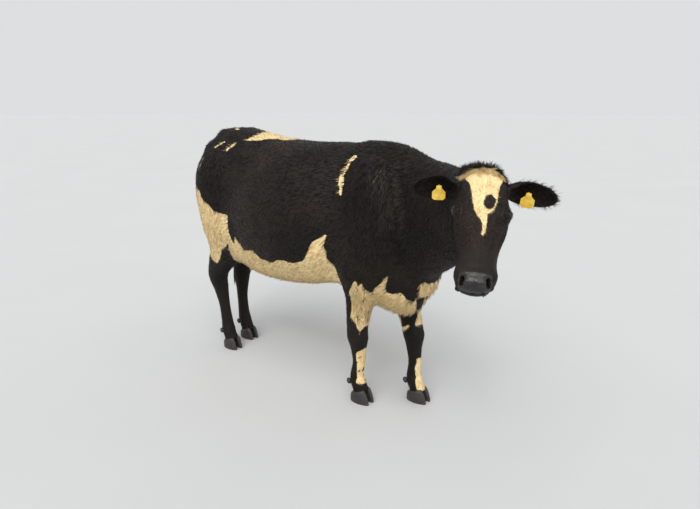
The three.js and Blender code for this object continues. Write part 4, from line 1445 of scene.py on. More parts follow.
CHARTS = {
    "trunk": (TRUNK, 0.0, 0.30),
    "neck": (NECK, 0.30, 0.12),
    "skull": (SKULL, 0.42, 0.09),
    "jaw": (LOWER_JAW, 0.51, 0.05),
    "fore_left": (LEGS["fore_left"], 0.56, 0.07),
    "fore_right": (LEGS["fore_right"], 0.63, 0.07),
    "hind_left": (LEGS["hind_left"], 0.70, 0.08),
    "hind_right": (LEGS["hind_right"], 0.78, 0.08),
    "udder": (UDDER, 0.86, 0.05),
    "tail": (TAIL, 0.91, 0.03),
}
EAR_CHART = {1: (0.94, 0.03), -1: (0.97, 0.027)}
SEAM_GAP = 0.004
END_SPARE = 80
CHART_WIDTH = 0.996
JAW_BEHIND = 6
EAR_LENGTH = 200


def ear_places(points):
    """Each point in the frame of the ear on its own side, and that side."""
    head_points = local(points, HEAD)
    side = np.where(head_points[:, 1] > 0, 1, -1)
    flip = np.stack([np.ones(len(points)), side, np.ones(len(points))], 1)
    return local(head_points * flip, EAR), side


def turn_share(across, height):
    """How far round a part a point lies, from 0 to 1."""
    return (np.arctan2(across, height) / (2 * np.pi)) % 1


def laid_out(points):
    """For each point: its place along the hair's lie, the lie, its unwrap and its part."""
    names = list(CHARTS)
    away = np.stack([CHARTS[name][0].distance(points) for name in names])
    away[names.index("jaw")] += JAW_BEHIND
    nearest = away.argmin(0)
    part = np.array(names, dtype=object)[nearest]
    place = np.zeros_like(points)
    lie = np.zeros_like(points)
    unwrap = np.zeros((len(points), 2))
    for number, name in enumerate(names):
        chosen = np.flatnonzero(nearest == number)
        if not len(chosen):
            continue
        loft, start, high = CHARTS[name]
        across, height, past, length, _, mix = loft.placed(points[chosen])
        place[chosen] = np.stack([across, height, length + past], 1)
        turn = start + turn_share(across, height) * (high - SEAM_GAP)
        along = np.clip((length + past + END_SPARE) / (loft.reached[-1] + 2 * END_SPARE), 0, 1)
        unwrap[chosen] = np.stack([along * CHART_WIDTH, turn], 1)
        lie[chosen] = lie_direction(name, points[chosen], unit(mix(loft.along)))
    ears, side = ear_places(points)
    near = (ears[:, 0] > 16) & (ears[:, 0] < EAR_LENGTH) & (np.abs(ears[:, 1]) < 70)
    on_ear = np.flatnonzero(near & (points[:, 0] > HEAD_FROM))
    on_ear = on_ear[EAR_SHELL.distance(ears[on_ear]) < 8]
    part[on_ear] = "ear"
    place[on_ear] = ears[on_ear][:, [1, 2, 0]]
    for each, (start, high) in EAR_CHART.items():
        chosen = on_ear[side[on_ear] == each]
        turn = start + turn_share(ears[chosen, 1], ears[chosen, 2]) * (high - SEAM_GAP / 2)
        along = np.clip(ears[chosen, 0] / EAR_LENGTH, 0, 1)
        unwrap[chosen] = np.stack([along * CHART_WIDTH, turn], 1)
        lie[chosen] = unit(ear_axis(each, [[1, 0, 0]]))
    return place, unit(lie), unwrap, part


def lie_direction(name, points, along):
    """The way the hair points on one part of the body."""
    count = len(points)
    if name == "trunk":
        down = 0.25 + 0.5 * blend_share(-points[:, 2], -1250, -800)
        return np.stack([-np.ones(count), 0.1 * np.sign(points[:, 1]), -down], 1)
    if name == "neck":
        return -along + np.array([0, 0, -0.45])
    if name == "skull":
        down_face = blend_share(local(points, HEAD)[:, 0], 110, 190)[:, None]
        sideways = HEAD[0][:, 1] * np.sign(local(points, HEAD)[:, 1:2])
        return lerp(-along + 0.5 * sideways, along + 0.25 * sideways, down_face)
    if name == "jaw":
        return -along + np.array([0, 0, -0.3])
    if name == "udder":
        return np.tile([0.3, 0, -1.0], (count, 1))
    if name in LEGS:
        return along + np.array([-0.18, 0, 0])
    return along


def carry_markings(piece, points):
    """The markings that skin and tufts share, stored from places in the cow's frame."""
    attribute(piece, "white", white_depth(points))
    attribute(piece, "speckle", speckle_mask(points))
    attribute(piece, "root", placed(points))


def finish_piece(piece, material, slot, *nodes):
    """Gives a piece its finish, hides the nodes that it stands for and sets it on its body."""
    piece.data.materials.clear()
    piece.data.materials.append(material)
    if nodes:
        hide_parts(*nodes)
    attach(piece, "root")


class SkinOperator(bpy.types.Operator):
    """Models the whole skin as one closed surface with the face worked into it"""

    bl_idname = "cow.skin"
    bl_label = "Model the skin"

    def execute(self, context):
        points, faces = united([body_skin(), ear_skin(1), ear_skin(-1)])
        for side in SIDES.values():
            root = from_local(mirrored(EAR_ROOT, side), HEAD)
            points = softened(points, faces, root, EAR_JOIN)
        place = laid_out(points)[0]
        piece = mesh_object("skin", placed(points), faces)
        carry_markings(piece, points)
        attribute(piece, "lie_place", place / 1000)
        attribute(piece, "bare", bare_mask(points))
        attribute(piece, "udder", udder_mask(points))
        finish_piece(piece, bpy.data.materials["CoatSkin"], "black_coat", *FLESH_NODES)
        piece.data.materials.append(bpy.data.materials["WetSkin"])
        wet = (bare_mask(points[faces].mean(1)) > 0.5).astype(np.int32)
        piece.data.polygons.foreach_set("material_index", wet)
        MOULD["skin"] = (points, faces)
        return {"FINISHED"}

# ---- coat

TUFT_SIDES = 3
TUFT_JOINTS = 2
PATCH = 0.003
ROOT_SUNK = 0.6

# Each coat piece: how its roots are chosen and how many there are. The size of its tufts in millimetres
# (length, width, thickness) and the lift of their tips in degrees come from tuft_sizes.
COATS = {
    "coat_right_flank": (lambda p, part: (part == "trunk") & (p[:, 1] < 0), 18500),
    "coat_left_flank": (lambda p, part: (part == "trunk") & (p[:, 1] >= 0), 18500),
    "coat_neck": (lambda p, part: part == "neck", 15000),
    "coat_head": (lambda p, part: (part == "skull") | (part == "jaw") | (part == "ear"), 19000),
    "coat_forelegs": (lambda p, part: (part == "fore_left") | (part == "fore_right"), 17500),
    "coat_hindlegs": (lambda p, part: (part == "hind_left") | (part == "hind_right"), 18500),
    "coat_udder_and_tail": (lambda p, part: (part == "udder") | (part == "tail"), 7000),
}


def geometry_tree(name, sockets):
    """An empty Geometry Nodes tree with a geometry in and out and named number sockets."""
    tree = bpy.data.node_groups.new(name, "GeometryNodeTree")
    tree.interface.new_socket("Geometry", in_out="INPUT", socket_type="NodeSocketGeometry")
    for socket, kind, value in sockets:
        made = tree.interface.new_socket(socket, in_out="INPUT", socket_type=kind)
        if value is not None:
            made.default_value = value
    tree.interface.new_socket("Geometry", in_out="OUTPUT", socket_type="NodeSocketGeometry")
    wiring = Wiring(tree)
    return wiring, wiring.add("NodeGroupInput"), wiring.add("NodeGroupOutput")


def tuft_tree():
    """Sets a thin curved lock on every root, turned along the lie of the hair."""
    wiring, given, out = geometry_tree(
        "Tufts",
        [
            ("Sides", "NodeSocketInt", TUFT_SIDES),
            ("Joints", "NodeSocketInt", TUFT_JOINTS),
            ("Curl", "NodeSocketFloat", 0.12),
            ("Spread", "NodeSocketFloat", 0.16),
            ("Vary", "NodeSocketFloat", 0.3),
            ("Patch", "NodeSocketFloat", PATCH),
            ("Seed", "NodeSocketInt", 3),
            ("Finish", "NodeSocketMaterial", None),
        ],
    )

    def named(name, kind):
        node = wiring.add("GeometryNodeInputNamedAttribute", {"Name": name}, data_type=kind)
        return node.outputs["Attribute"]

    cone = wiring.add(
        "GeometryNodeMeshCone",
        {
            "Vertices": given.outputs["Sides"],
            "Side Segments": given.outputs["Joints"],
            "Fill Segments": 1,
            "Radius Top": 0.0,
            "Radius Bottom": 0.5,
            "Depth": 1.0,
        },
        fill_type="NGON",
    )
    place = wiring.add("GeometryNodeInputPosition")
    split = wiring.add("ShaderNodeSeparateXYZ", {"Vector": place})
    along = split.outputs["Z"]
    # The lock keeps its width low down, then thins to its tip.
    swell_out = wiring.plus(0.75, wiring.times(along, 0.9))
    bend = wiring.times(wiring.math("POWER", along, 2.0), given.outputs["Curl"])
    wide = wiring.times(split.outputs["X"], swell_out)
    thick = wiring.less(wiring.times(split.outputs["Y"], swell_out), bend)
    shape = wiring.add("ShaderNodeCombineXYZ", {"X": wide, "Y": thick, "Z": along})
    patch = wiring.add(
        "GeometryNodeStoreNamedAttribute",
        {
            "Geometry": cone.outputs["Mesh"],
            "Name": "patch",
            "Value": wiring.add("ShaderNodeCombineXYZ", {"X": split.outputs["X"], "Y": along, "Z": 0.0}),
        },
        data_type="FLOAT_VECTOR",
        domain="POINT",
    )
    lock = wiring.add("GeometryNodeSetPosition", {"Geometry": patch.outputs["Geometry"], "Position": shape})
    seed = given.outputs["Seed"]
    sway = wiring.add(
        "FunctionNodeRandomValue", {"Min": (-1.0, -1.0, -1.0), "Max": (1.0, 1.0, 1.0), "Seed": seed},
        data_type="FLOAT_VECTOR",
    ).outputs[0]
    sway = wiring.scaled(sway, given.outputs["Spread"])
    tip = wiring.vector("ADD", named("tip", "FLOAT_VECTOR"), sway)
    turn = wiring.add(
        "FunctionNodeAxesToRotation",
        {"Primary Axis": tip, "Secondary Axis": named("out", "FLOAT_VECTOR")},
        primary_axis="Z",
        secondary_axis="Y",
    )
    least = wiring.less(1.0, given.outputs["Vary"])
    most = wiring.plus(1.0, given.outputs["Vary"])
    vary = wiring.add(
        "FunctionNodeRandomValue", {2: least, 3: most, "Seed": seed}, data_type="FLOAT"
    ).outputs[1]
    size = wiring.scaled(named("size", "FLOAT_VECTOR"), vary)
    placed_locks = wiring.add(
        "GeometryNodeInstanceOnPoints",
        {
            "Points": wiring.add("GeometryNodeMeshToPoints", {"Mesh": given.outputs["Geometry"]}),
            "Instance": lock.outputs["Geometry"],
            "Rotation": turn.outputs["Rotation"],
            "Scale": size,
        },
    )
    real = wiring.add("GeometryNodeRealizeInstances", {"Geometry": placed_locks})
    within = wiring.scaled(named("patch", "FLOAT_VECTOR"), given.outputs["Patch"])
    on_unwrap = wiring.vector("ADD", named("unwrap", "FLOAT_VECTOR"), within)
    baked = wiring.add(
        "GeometryNodeStoreNamedAttribute",
        {"Geometry": real, "Name": "OFBake", "Value": on_unwrap},
        data_type="FLOAT2",
        domain="CORNER",
    )
    smooth = wiring.add("GeometryNodeSetShadeSmooth", {"Geometry": baked})
    finish = wiring.add("GeometryNodeSetMaterial", {"Geometry": smooth, "Material": given.outputs["Finish"]})
    wiring.feed(out, "Geometry", finish)
    return wiring.tree


def locks(name, roots, inputs):
    """One mesh of locks grown by the tuft tree from a table of roots in the cow's frame."""
    mesh = bpy.data.meshes.new(name)
    mesh.vertices.add(len(roots["place"]))
    mesh.vertices.foreach_set("co", placed(roots["place"]).astype(np.float32).ravel())
    piece = bpy.data.objects.new(name, mesh)
    bpy.context.scene.collection.objects.link(piece)
    for key in ("tip", "out", "size", "unwrap"):
        attribute(piece, key, roots[key])
    attribute(piece, "tone", roots["tone"])
    carry_markings(piece, roots["place"])
    if "white" in roots:
        piece.data.attributes["white"].data.foreach_set("value", roots["white"].astype(np.float32))
    grow = piece.modifiers.new("grow", "NODES")
    tree = bpy.data.node_groups["Tufts"]
    names = {item.name: item.identifier for item in tree.interface.items_tree if item.in_out == "INPUT"}
    grow.node_group = tree
    for key, value in inputs.items():
        grow[names[key]] = value
    grow[names["Finish"]] = bpy.data.materials["CoatHair"]
    made = plain_mesh(piece)
    for key in ("tip", "out", "size", "unwrap", "patch"):
        made.attributes.remove(made.attributes[key])
    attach(piece, "root")
    return piece


def scattered(points, faces, weight, count, seed):
    """Random roots over the skin, as many to an area as the weight of the faces there."""
    random = np.random.default_rng(seed)
    a, b, c = (points[faces[:, k]] for k in range(3))
    area = np.linalg.norm(np.cross(b - a, c - a), axis=1) * weight
    total = np.cumsum(area)
    face = np.searchsorted(total, random.random(count) * total[-1])
    u, v = random.random(count), random.random(count)
    over = u + v > 1
    u[over], v[over] = 1 - u[over], 1 - v[over]
    share = np.stack([1 - u - v, u, v], 1)[:, :, None]
    normals = normals_of(points, faces)
    corners = faces[face]
    return (points[corners] * share).sum(1), unit((normals[corners] * share).sum(1)), random


def slow_noise(points, length, seed):
    """A smooth wandering value between -1 and 1 over the body."""
    random = np.random.default_rng(seed)
    total = np.zeros(len(points))
    for _ in range(4):
        run = unit(random.normal(size=3)) / length
        total += np.sin(points @ run * 2 * np.pi + random.random() * 6.3)
    return total / 4


def tipped(lie, out, lift, swing=0.0):
    """Directions along the skin, swung round its normal and lifted off it by angles in degrees."""
    flat = unit(lie - out * (lie * out).sum(1)[:, None])
    across = np.cross(out, flat)
    swing = np.radians(swing)
    turned = flat * np.cos(swing)[:, None] + across * np.sin(swing)[:, None]
    lift = np.radians(lift)
    return turned * np.cos(lift)[:, None] + out * np.sin(lift)[:, None]


def tuft_sizes(points, part):
    """Width, thickness, length in millimetres, and lift in degrees, of the tufts at each root."""
    size = np.tile([3.4, 1.1, 24.0], (len(points), 1))
    lift = np.full(len(points), 9.0)
    size[part == "neck"] = [3.4, 1.1, 27.0]
    size[(part == "skull") | (part == "jaw")] = [1.9, 0.7, 12.0]
    size[part == "ear"] = [1.9, 0.7, 15.0]
    size[part == "udder"] = [1.7, 0.6, 12.0]
    size[part == "tail"] = [2.6, 1.0, 30.0]
    on_leg = np.array([name in LEGS for name in part])
    low = blend_share(-points[:, 2], -700, -380)[on_leg, None]
    size[on_leg] = lerp(np.array([3.2, 1.1, 23.0]), np.array([2.3, 0.8, 13.0]), low)
    muzzle = blend_share(local(points, HEAD)[:, 0], 300, 440) * ((part == "skull") | (part == "jaw"))
    size *= (1 - 0.5 * muzzle)[:, None]
    shaggy = np.zeros(len(points))
    x, y, z = points.T
    shaggy = np.maximum(shaggy, blend_share(-z, -700, -600) * (part == "trunk"))
    shaggy = np.maximum(shaggy, speckle_mask(points) * (z > 380))
    shaggy = np.maximum(shaggy, blend_share(polygon_depth(x, z, BRISKET), -10, 30) * (y < 60) * (x > 540))
    pastern = blend_share(-z, -118, -100) * on_leg
    size *= (1 + np.stack([0.1 * shaggy, 0.2 * shaggy, 0.5 * shaggy + 0.5 * pastern], 1))
    lift += 7 * shaggy + 4 * pastern
    return size, lift


def roots_table(points, out, tip, size, random):
    """The roots as the tuft tree reads them, with the root just under the skin."""
    unwrap = laid_out(points)[2]
    return {
        "place": points - out * ROOT_SUNK,
        "tip": tip,
        "out": out,
        "size": size / 1000,
        "unwrap": np.stack([unwrap[:, 0], unwrap[:, 1], np.zeros(len(points))], 1),
        "tone": random.random(len(points)),
    }


class CoatOperator(bpy.types.Operator):
    """Grows the short flat coat over the skin, a piece to each part of the body"""

    bl_idname = "cow.coat"
    bl_label = "Grow the coat"

    def execute(self, context):
        settings = context.scene.cow_look
        points, faces = MOULD["skin"]
        middle = points[faces].mean(1)
        part = laid_out(middle)[3]
        bare = bare_mask(middle)
        head_x = local(middle, HEAD)[:, 0]
        for seed, (name, (choose, count)) in enumerate(COATS.items()):
            dense = 1 + 1.2 * blend_share(head_x, 60, 260) * (name == "coat_head")
            dense = dense * np.where(part == "udder", 0.6, 1) * (bare < 0.25)
            weight = choose(middle, part) * dense
            roots, out, random = scattered(points, faces, weight, count, seed + 11)
            _, lie, _, part_there = laid_out(roots)
            size, lift = tuft_sizes(roots, part_there)
            swing = 16 * slow_noise(roots, 130, 5) + 9 * slow_noise(roots, 34, 6)
            tip = tipped(lie, out, lift + 2.5 * slow_noise(roots, 50, 7), swing)
            table = roots_table(roots, out, tip, size * settings.hair_length, random)
            locks(name, table, {"Seed": seed + 1})
        return {"FINISHED"}


# ---- long hair: poll, ears, lashes and the tail's switch

POLL_COUNT = 2200
POLL_BLACK = 2
FRINGE_COUNT = 700
SWITCH_COUNT = 420
LASHES = 46
SWITCH_END = 354


def grow_poll(points, faces, middle):
    x, y, z = local(middle, HEAD).T
    weight = (x > -74) & (x < 34) & (np.abs(y) < 84) & (z > -76) & (middle[:, 0] > HEAD_FROM)
    roots, out, random = scattered(points, faces, weight, POLL_COUNT, 31)
    x, y, _ = local(roots, HEAD).T
    down = blend_share(x, -30, 24)
    sideways = HEAD[0][:, 1] * (y / 70)[:, None]
    lie = lerp(-HEAD[0][:, 0], HEAD[0][:, 0], down[:, None]) + 0.7 * sideways
    lift = lerp(56, 20, down) - 14 * random.random(len(roots))
    tip = tipped(lie, out, lift, 20 * slow_noise(roots, 36, 8))
    size = np.stack([3.2 + 0 * x, 1.5 + 0 * x, 20 + 12 * random.random(len(roots))], 1)
    table = roots_table(roots, out, tip, size, random)
    streaky = 16 * slow_noise(roots, 17, 12) * blend_share(-x, -20, 30)
    table["white"] = np.where(x < POLL_BLACK, -30.0, white_depth(roots) + streaky)
    locks("poll_tuft", table, {"Seed": 41, "Joints": 5, "Curl": 0.3, "Spread": 0.16})


def grow_fringe(name, side, points, faces, middle):
    ears, ear_side = ear_places(middle)
    x, y, z = ears.T
    near = (x > 26) & (x < 190) & (np.abs(y) < 62) & (np.abs(z) < 50) & (middle[:, 0] > HEAD_FROM)
    near &= ear_side == side
    inside = near & (EAR_HOLLOW.distance(ears) < 6)
    weight = np.where(inside, 1.0, 0.25 * near * (EAR_SHELL.distance(ears) < 3))
    roots, out, random = scattered(points, faces, weight, FRINGE_COUNT, 51 + side)
    ears, _ = ear_places(roots)
    lie = np.repeat(unit(ear_axis(side, [[1, 0, 0]])), len(roots), 0)
    edge = ear_axis(side, np.array([[0, 1.0, 0]]) * np.sign(ears[:, 1:2]))
    lie = lie + 0.6 * edge * (np.abs(ears[:, 1:2]) / 40)
    tip = tipped(lie, out, 20 + 22 * random.random(len(roots)), 14 * slow_noise(roots, 30, 9))
    length = 15 + 14 * random.random(len(roots))
    size = np.stack([1.7 + 0 * length, 0.8 + 0 * length, length], 1)
    table = roots_table(roots, out, tip, size, random)
    locks(name, table, {"Seed": 43, "Joints": 4, "Curl": 0.2, "Spread": 0.25})


def grow_lashes(name, side):
    """A row of fine hairs along the edge of the upper lid."""
    random = np.random.default_rng(71)
    axes = eye_axes(side)
    share = np.linspace(-0.9, 0.9, LASHES) + random.normal(0, 0.01, LASHES)
    along = share * SLIT_HALF
    up = LID_UP * (1 - share**2) + 0.8
    radius = EYE_RADIUS + 1.8
    deep = np.sqrt(np.maximum(radius**2 - along**2 - up**2, 1))
    centre = mirrored(EYE_PLACE, side)
    roots = from_local(np.stack([along, up, deep], 1) @ axes + centre, HEAD)
    out = unit(np.stack([0.5 * share, 0.55 + 0 * share, 0.9 + 0 * share], 1)) @ axes @ HEAD[0].T
    upward = np.repeat(axes[1:2] @ HEAD[0].T, LASHES, 0)
    length = 9 + 5 * random.random(LASHES)
    size = np.stack([0.7 + 0 * length, 0.7 + 0 * length, length], 1)
    table = roots_table(roots, upward, unit(out), size, random)
    table["place"] = roots
    locks(name, table, {"Seed": 44, "Joints": 4, "Curl": -0.3, "Spread": 0.1})


def grow_switch(points, faces, middle):
    weight = (middle[:, 0] < -850) & (middle[:, 2] < 690)
    roots, out, random = scattered(points, faces, weight, SWITCH_COUNT, 61)
    drop = roots[:, 2] - SWITCH_END
    length = drop * (0.5 + 0.48 * random.random(len(roots)))
    strewn = random.normal(0, 0.012, (len(roots), 3))
    tip = unit(np.array([0.03, 0, -1.0]) + 0.05 * out * [1, 1, 0] + strewn)
    size = np.stack([8 + 0 * length, 5 + 0 * length, length], 1)
    table = roots_table(roots, out, tip, size, random)
    inputs = {"Seed": 45, "Joints": 7, "Curl": 0.02, "Spread": 0.012, "Vary": 0.0}
    piece = locks("switch_locks", table, inputs)
    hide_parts("tail_switch")


class LongHairOperator(bpy.types.Operator):
    """Grows the tuft on the poll, the fringes of the ears, the lashes and the switch"""

    bl_idname = "cow.long_hair"
    bl_label = "Grow the long hair"

    def execute(self, context):
        points, faces = MOULD["skin"]
        middle = points[faces].mean(1)
        grow_poll(points, faces, middle)
        for name, side in SIDES.items():
            grow_fringe(f"{name}_ear_fringe", side, points, faces, middle)
            grow_lashes(f"{name}_lashes", side)
        grow_switch(points, faces, middle)
        return {"FINISHED"}


# ---- eyes

EYE_RINGS = 24
EYE_SEGMENTS = 40
CORNEA_BULGE = 0.035
CORNEA_REACH = 0.62


class EyesOperator(bpy.types.Operator):
    """Makes the two eyes, each a ball with a slightly bulging cornea"""

    bl_idname = "cow.eyes"
    bl_label = "Make the eyes"

    def execute(self, context):
        for name, side in SIDES.items():
            points, faces = ball_mesh(EYE_RINGS, EYE_SEGMENTS)
            far = np.hypot(points[:, 0], points[:, 1]) / CORNEA_REACH
            cornea = 1 + CORNEA_BULGE * np.exp(-(far**4)) * (points[:, 2] > 0)
            iris = points * EYE_RADIUS
            shaped = points * cornea[:, None] * EYE_RADIUS * 0.985
            in_head = shaped @ eye_axes(side) + mirrored(EYE_PLACE, side)
            points = placed(from_local(in_head, HEAD))
            piece = mesh_object(f"{name}_eyeball", points, outward(in_head, faces))
            attribute(piece, "iris", iris)
            finish_piece(piece, bpy.data.materials["EyeWet"], "eye", f"{name}_eye")
        return {"FINISHED"}


def ball_mesh(rings, segments):
    """A unit ball with its poles on z."""
    points = [[0, 0, 1]]
    for k in range(1, rings):
        low = math.pi * k / rings
        for j in range(segments):
            turn = 2 * math.pi * j / segments
            points.append([math.sin(low) * math.cos(turn), math.sin(low) * math.sin(turn), math.cos(low)])
    points.append([0, 0, -1])
    faces = []
    last = len(points) - 1
    for j in range(segments):
        after = (j + 1) % segments
        faces.append([0, 1 + j, 1 + after])
        bottom = 1 + (rings - 2) * segments
        faces.append([last, bottom + after, bottom + j])
        for k in range(rings - 2):
            a, b = 1 + k * segments + j, 1 + k * segments + after
            c, d = a + segments, b + segments
            faces += [[a, c, d], [a, d, b]]
    return np.array(points, float), np.array(faces)


def outward(points, faces):
    """Turns the faces of a closed mesh round where its volume comes out below zero."""
    a, b, c = (points[faces[:, k]] for k in range(3))
    volume = (a * np.cross(b, c)).sum()
    return faces if volume > 0 else faces[:, ::-1]


# ---- claws and dew claws

CLAW_RINGS = [
    # height share, heel x, toe x, half width
    (0.0, -34, 80, 19.5),
    (0.05, -37, 84, 22),
    (0.35, -38, 80, 23.5),
    (0.7, -37, 70, 23.5),
    (1.0, -34, 58, 22),
    (1.12, -28, 50, 17),
]
CLAW_SIDES = 36
CLAW_APART = 25


def claw_mesh(foot_x, foot_y, out):
    """One claw: flat sole, straight toe wall, round heel and a gap beside its neighbour."""
    rows = []
    for share, heel, toe, half in filled_rows(CLAW_RINGS, 22):
        for k in range(CLAW_SIDES):
            turn = 2 * math.pi * k / CLAW_SIDES
            cos, sin = math.cos(turn), math.sin(turn)
            along = (heel + toe) / 2 + (toe - heel) / 2 * math.copysign(abs(cos) ** 0.85, cos)
            point = blend_share(np.array([along]), 20, 84)[0]
            inner = 0.72 if sin * out < 0 else 1.0
            narrow = 1 - 0.3 * point
            across = half * inner * narrow * math.copysign(abs(sin) ** 0.9, sin)
            across += out * (CLAW_APART - 3 * point)
            top = coronet_height(foot_x + along, foot_x)
            rows.append([foot_x + along, foot_y + across, max(share, 0) * top])
    points = np.array(rows)
    count = len(points) // CLAW_SIDES
    faces = []
    for i in range(count - 1):
        for k in range(CLAW_SIDES):
            a, b = i * CLAW_SIDES + k, i * CLAW_SIDES + (k + 1) % CLAW_SIDES
            faces += [[a, b, b + CLAW_SIDES], [a, b + CLAW_SIDES, a + CLAW_SIDES]]
    ends = [points[:CLAW_SIDES].mean(0), points[-CLAW_SIDES:].mean(0)]
    base = len(points)
    points = np.vstack([points, ends])
    for k in range(CLAW_SIDES):
        after = (k + 1) % CLAW_SIDES
        faces.append([base, after, k])
        top = (count - 1) * CLAW_SIDES
        faces.append([base + 1, top + k, top + after])
    faces = np.array(faces)
    return points, outward(points - points.mean(0), faces)


def filled_rows(rows, count):
    """Rows of numbers filled in evenly between the rows given."""
    table = np.array(rows, float)
    at = np.linspace(0, 1, count)
    given = np.linspace(0, 1, len(table))
    return np.stack([np.interp(at, given, column) for column in table.T], 1)


DEW_HALVES = [14, 12, 17]
DEW_HEEL = {"fore": -54, "hind": -62}
DEW_HEIGHT = 108


class ClawsOperator(bpy.types.Operator):
    """Makes the eight claws and the eight dew claws"""

    bl_idname = "cow.claws"
    bl_label = "Make the claws"

    def execute(self, context):
        horn = bpy.data.materials["ClawHorn"]
        for name, (foot_x, foot_y) in FEET.items():
            end, side_name = name.split("_")
            side = SIDES[side_name]
            for which, out in (("outer", side), ("inner", -side)):
                points, faces = claw_mesh(foot_x, foot_y, out)
                piece = mesh_object(f"{name}_{which}_hoof", placed(points), faces)
                finish_piece(piece, horn, "horn", f"{name}_{which}_claw")
                points, faces = ball_mesh(14, 22)
                points = points * DEW_HALVES
                points[:, 0] -= 3 * (points[:, 2] / DEW_HALVES[2])
                points = points + [foot_x + DEW_HEEL[end], foot_y + out * 24, DEW_HEIGHT]
                faces = outward(points - points.mean(0), faces)
                piece = mesh_object(f"{name}_{which}_dew", placed(points), faces)
                finish_piece(piece, horn, "horn", f"{name}_{which}_dew_claw")
        return {"FINISHED"}


# ---- ear tags


class TagsOperator(bpy.types.Operator):
    """Gives the two bare ear tags their plastic finish"""

    bl_idname = "cow.tags"
    bl_label = "Finish the ear tags"

    def execute(self, context):
        for name in SIDES:
            node = bpy.data.objects[f"{name}_ear_tag"]
            node.data.materials.clear()
            node.data.materials.append(bpy.data.materials["TagPlastic"])
        return {"FINISHED"}


# ---- Stage

CAMERA_PLACE = (2220.2, -2293.3, 1565)
CAMERA_TURN = 40.3
CAMERA_DOWN = 14.46
CAMERA_LENS = 28.8
FLOOR_SIZE = 400.0


def soft_sun(name, direction, strength, spread, colour=(1, 1, 1)):
    """Even light from far off, in a direction, soft by its spread in degrees."""
    lamp = bpy.data.lights.new(name, "SUN")
    lamp.energy = strength
    lamp.angle = math.radians(spread)
    lamp.color = colour
    item = bpy.data.objects.new(name, lamp)
    run = np.array(direction, float)
    item.rotation_euler = (
        math.atan2(math.hypot(run[0], run[1]), -run[2]),
        0,
        math.atan2(-run[0], run[1]),
    )
    bpy.context.scene.collection.objects.link(item)


class StageOperator(bpy.types.Operator):
    """Sets the floor, the soft light and the camera"""

    bl_idname = "cow.stage"
    bl_label = "Set the stage"

    def execute(self, context):
        settings = context.scene.cow_look
        half = FLOOR_SIZE / 2
        corners = [(-half, -half, 0), (half, -half, 0), (half, half, 0), (-half, half, 0)]
        mesh = bpy.data.meshes.new("studio_floor")
        mesh.from_pydata(corners, [], [(0, 1, 2, 3)])
        floor = bpy.data.objects.new("studio_floor", mesh)
        context.scene.collection.objects.link(floor)
        mesh.materials.append(bpy.data.materials["StudioFloor"])
        soft_sun("key_light", (-0.35, 0.75, -1.0), settings.key_power, 55)
        soft_sun("fill_light", (-1.0, -0.2, -0.45), settings.key_power * 0.25, 80)
        soft_sun("catch_light", (-0.35, 0.75, -0.8), settings.key_power * 0.12, 8)
        world = bpy.data.worlds.new("studio_air")
        world.use_nodes = True
        background = world.node_tree.nodes["Background"]
        background.inputs["Color"].default_value = (*linear(settings.air), 1)
        background.inputs["Strength"].default_value = settings.air_strength
        context.scene.world = world
        camera = bpy.data.cameras.new("view_camera")
        camera.lens = CAMERA_LENS
        camera.sensor_width = 36
        camera.sensor_fit = "HORIZONTAL"
        item = bpy.data.objects.new("view_camera", camera)
        item.location = placed(CAMERA_PLACE)
        item.rotation_euler = (math.radians(90 - CAMERA_DOWN), 0, math.radians(CAMERA_TURN))
        context.scene.collection.objects.link(item)
        context.scene.camera = item
        context.scene.view_settings.view_transform = "Standard"
        return {"FINISHED"}


# ---- Settings, panel and start


def colour_setting(name, description, default):
    return bpy.props.FloatVectorProperty(
        name=name, description=description, default=default, subtype="COLOR", size=3, min=0, max=1
    )


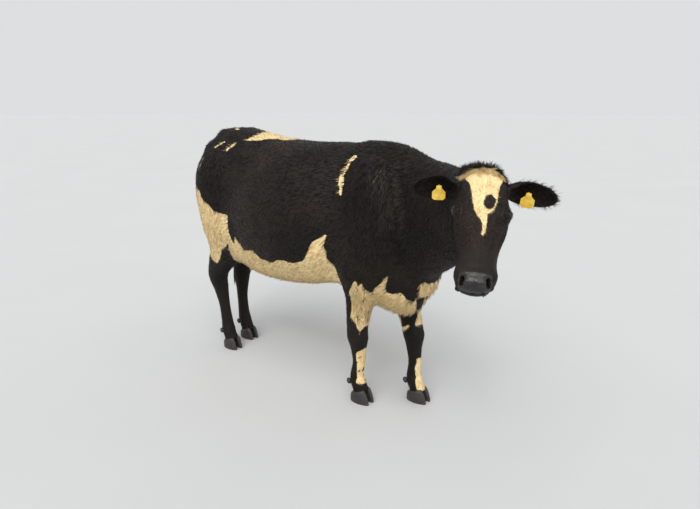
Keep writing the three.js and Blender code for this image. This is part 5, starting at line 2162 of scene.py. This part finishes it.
class CowLook(bpy.types.PropertyGroup):
    """Sizes and colours that a user would change"""

    black: colour_setting("Black coat", "Colour of the black hair, linear", (0.0085, 0.0065, 0.0054))
    white: colour_setting("White coat", "Colour of the white hair, linear", (0.82, 0.64, 0.34))
    udder_tone: colour_setting("Udder", "Thin skin of the udder", (0.70, 0.56, 0.38))
    horn: colour_setting("Horn", "Claws and dew claws", (0.105, 0.097, 0.1))
    tag: colour_setting("Ear tags", "Plastic of the ear tags", (0.85, 0.67, 0.16))
    floor: colour_setting("Floor", "Studio floor", (0.735, 0.7385, 0.738))
    air: colour_setting("Air", "Light that comes from all round", (0.91, 0.915, 0.92))
    hair_length: bpy.props.FloatProperty(
        name="Hair length", description="Length of the short coat, 1 as modelled", default=1.0, min=0.1
    )
    air_strength: bpy.props.FloatProperty(
        name="Air strength", description="Strength of the light from all round", default=0.9, min=0
    )
    key_power: bpy.props.FloatProperty(
        name="Key light", description="Strength of the main lamp", default=2.4, min=0
    )


class CowPanel(bpy.types.Panel):
    """Shows the cow's settings and the buttons for its steps in the sidebar"""

    bl_idname = "VIEW3D_PT_cow"
    bl_label = "Standing dairy cow"
    bl_space_type = "VIEW_3D"
    bl_region_type = "UI"
    bl_category = "Cow"

    def draw(self, context):
        look = context.scene.cow_look
        for name in CowLook.__annotations__:
            self.layout.prop(look, name)
        for operator in OPERATORS:
            self.layout.operator(operator.bl_idname)


OPERATORS = (
    SkinOperator,
    CoatOperator,
    LongHairOperator,
    EyesOperator,
    ClawsOperator,
    TagsOperator,
    StageOperator,
)
CLASSES = (CowLook, *OPERATORS, CowPanel)


def register():
    for each in CLASSES:
        bpy.utils.register_class(each)
    bpy.types.Scene.cow_look = bpy.props.PointerProperty(type=CowLook)


def unregister():
    del bpy.types.Scene.cow_look
    for each in reversed(CLASSES):
        bpy.utils.unregister_class(each)


def make_materials(settings):
    coat_pattern_group()
    hair_lie_group()
    skin_material(settings, "CoatSkin", 0.16, 0.0)
    skin_material(settings, "WetSkin", 0.34, 0.24)
    hair_material(settings)
    eye_material()
    horn_material(settings)
    tag_material(settings)
    floor_material(settings)


def main():
    for name in ("Cube", "Light", "Camera"):
        if name in bpy.data.objects:
            bpy.data.objects.remove(bpy.data.objects[name])
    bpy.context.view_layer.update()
    register()
    make_materials(bpy.context.scene.cow_look)
    tuft_tree()
    for operator in OPERATORS:
        family, name = operator.bl_idname.split(".")
        getattr(getattr(bpy.ops, family), name)()


if __name__ == "__main__":
    main()
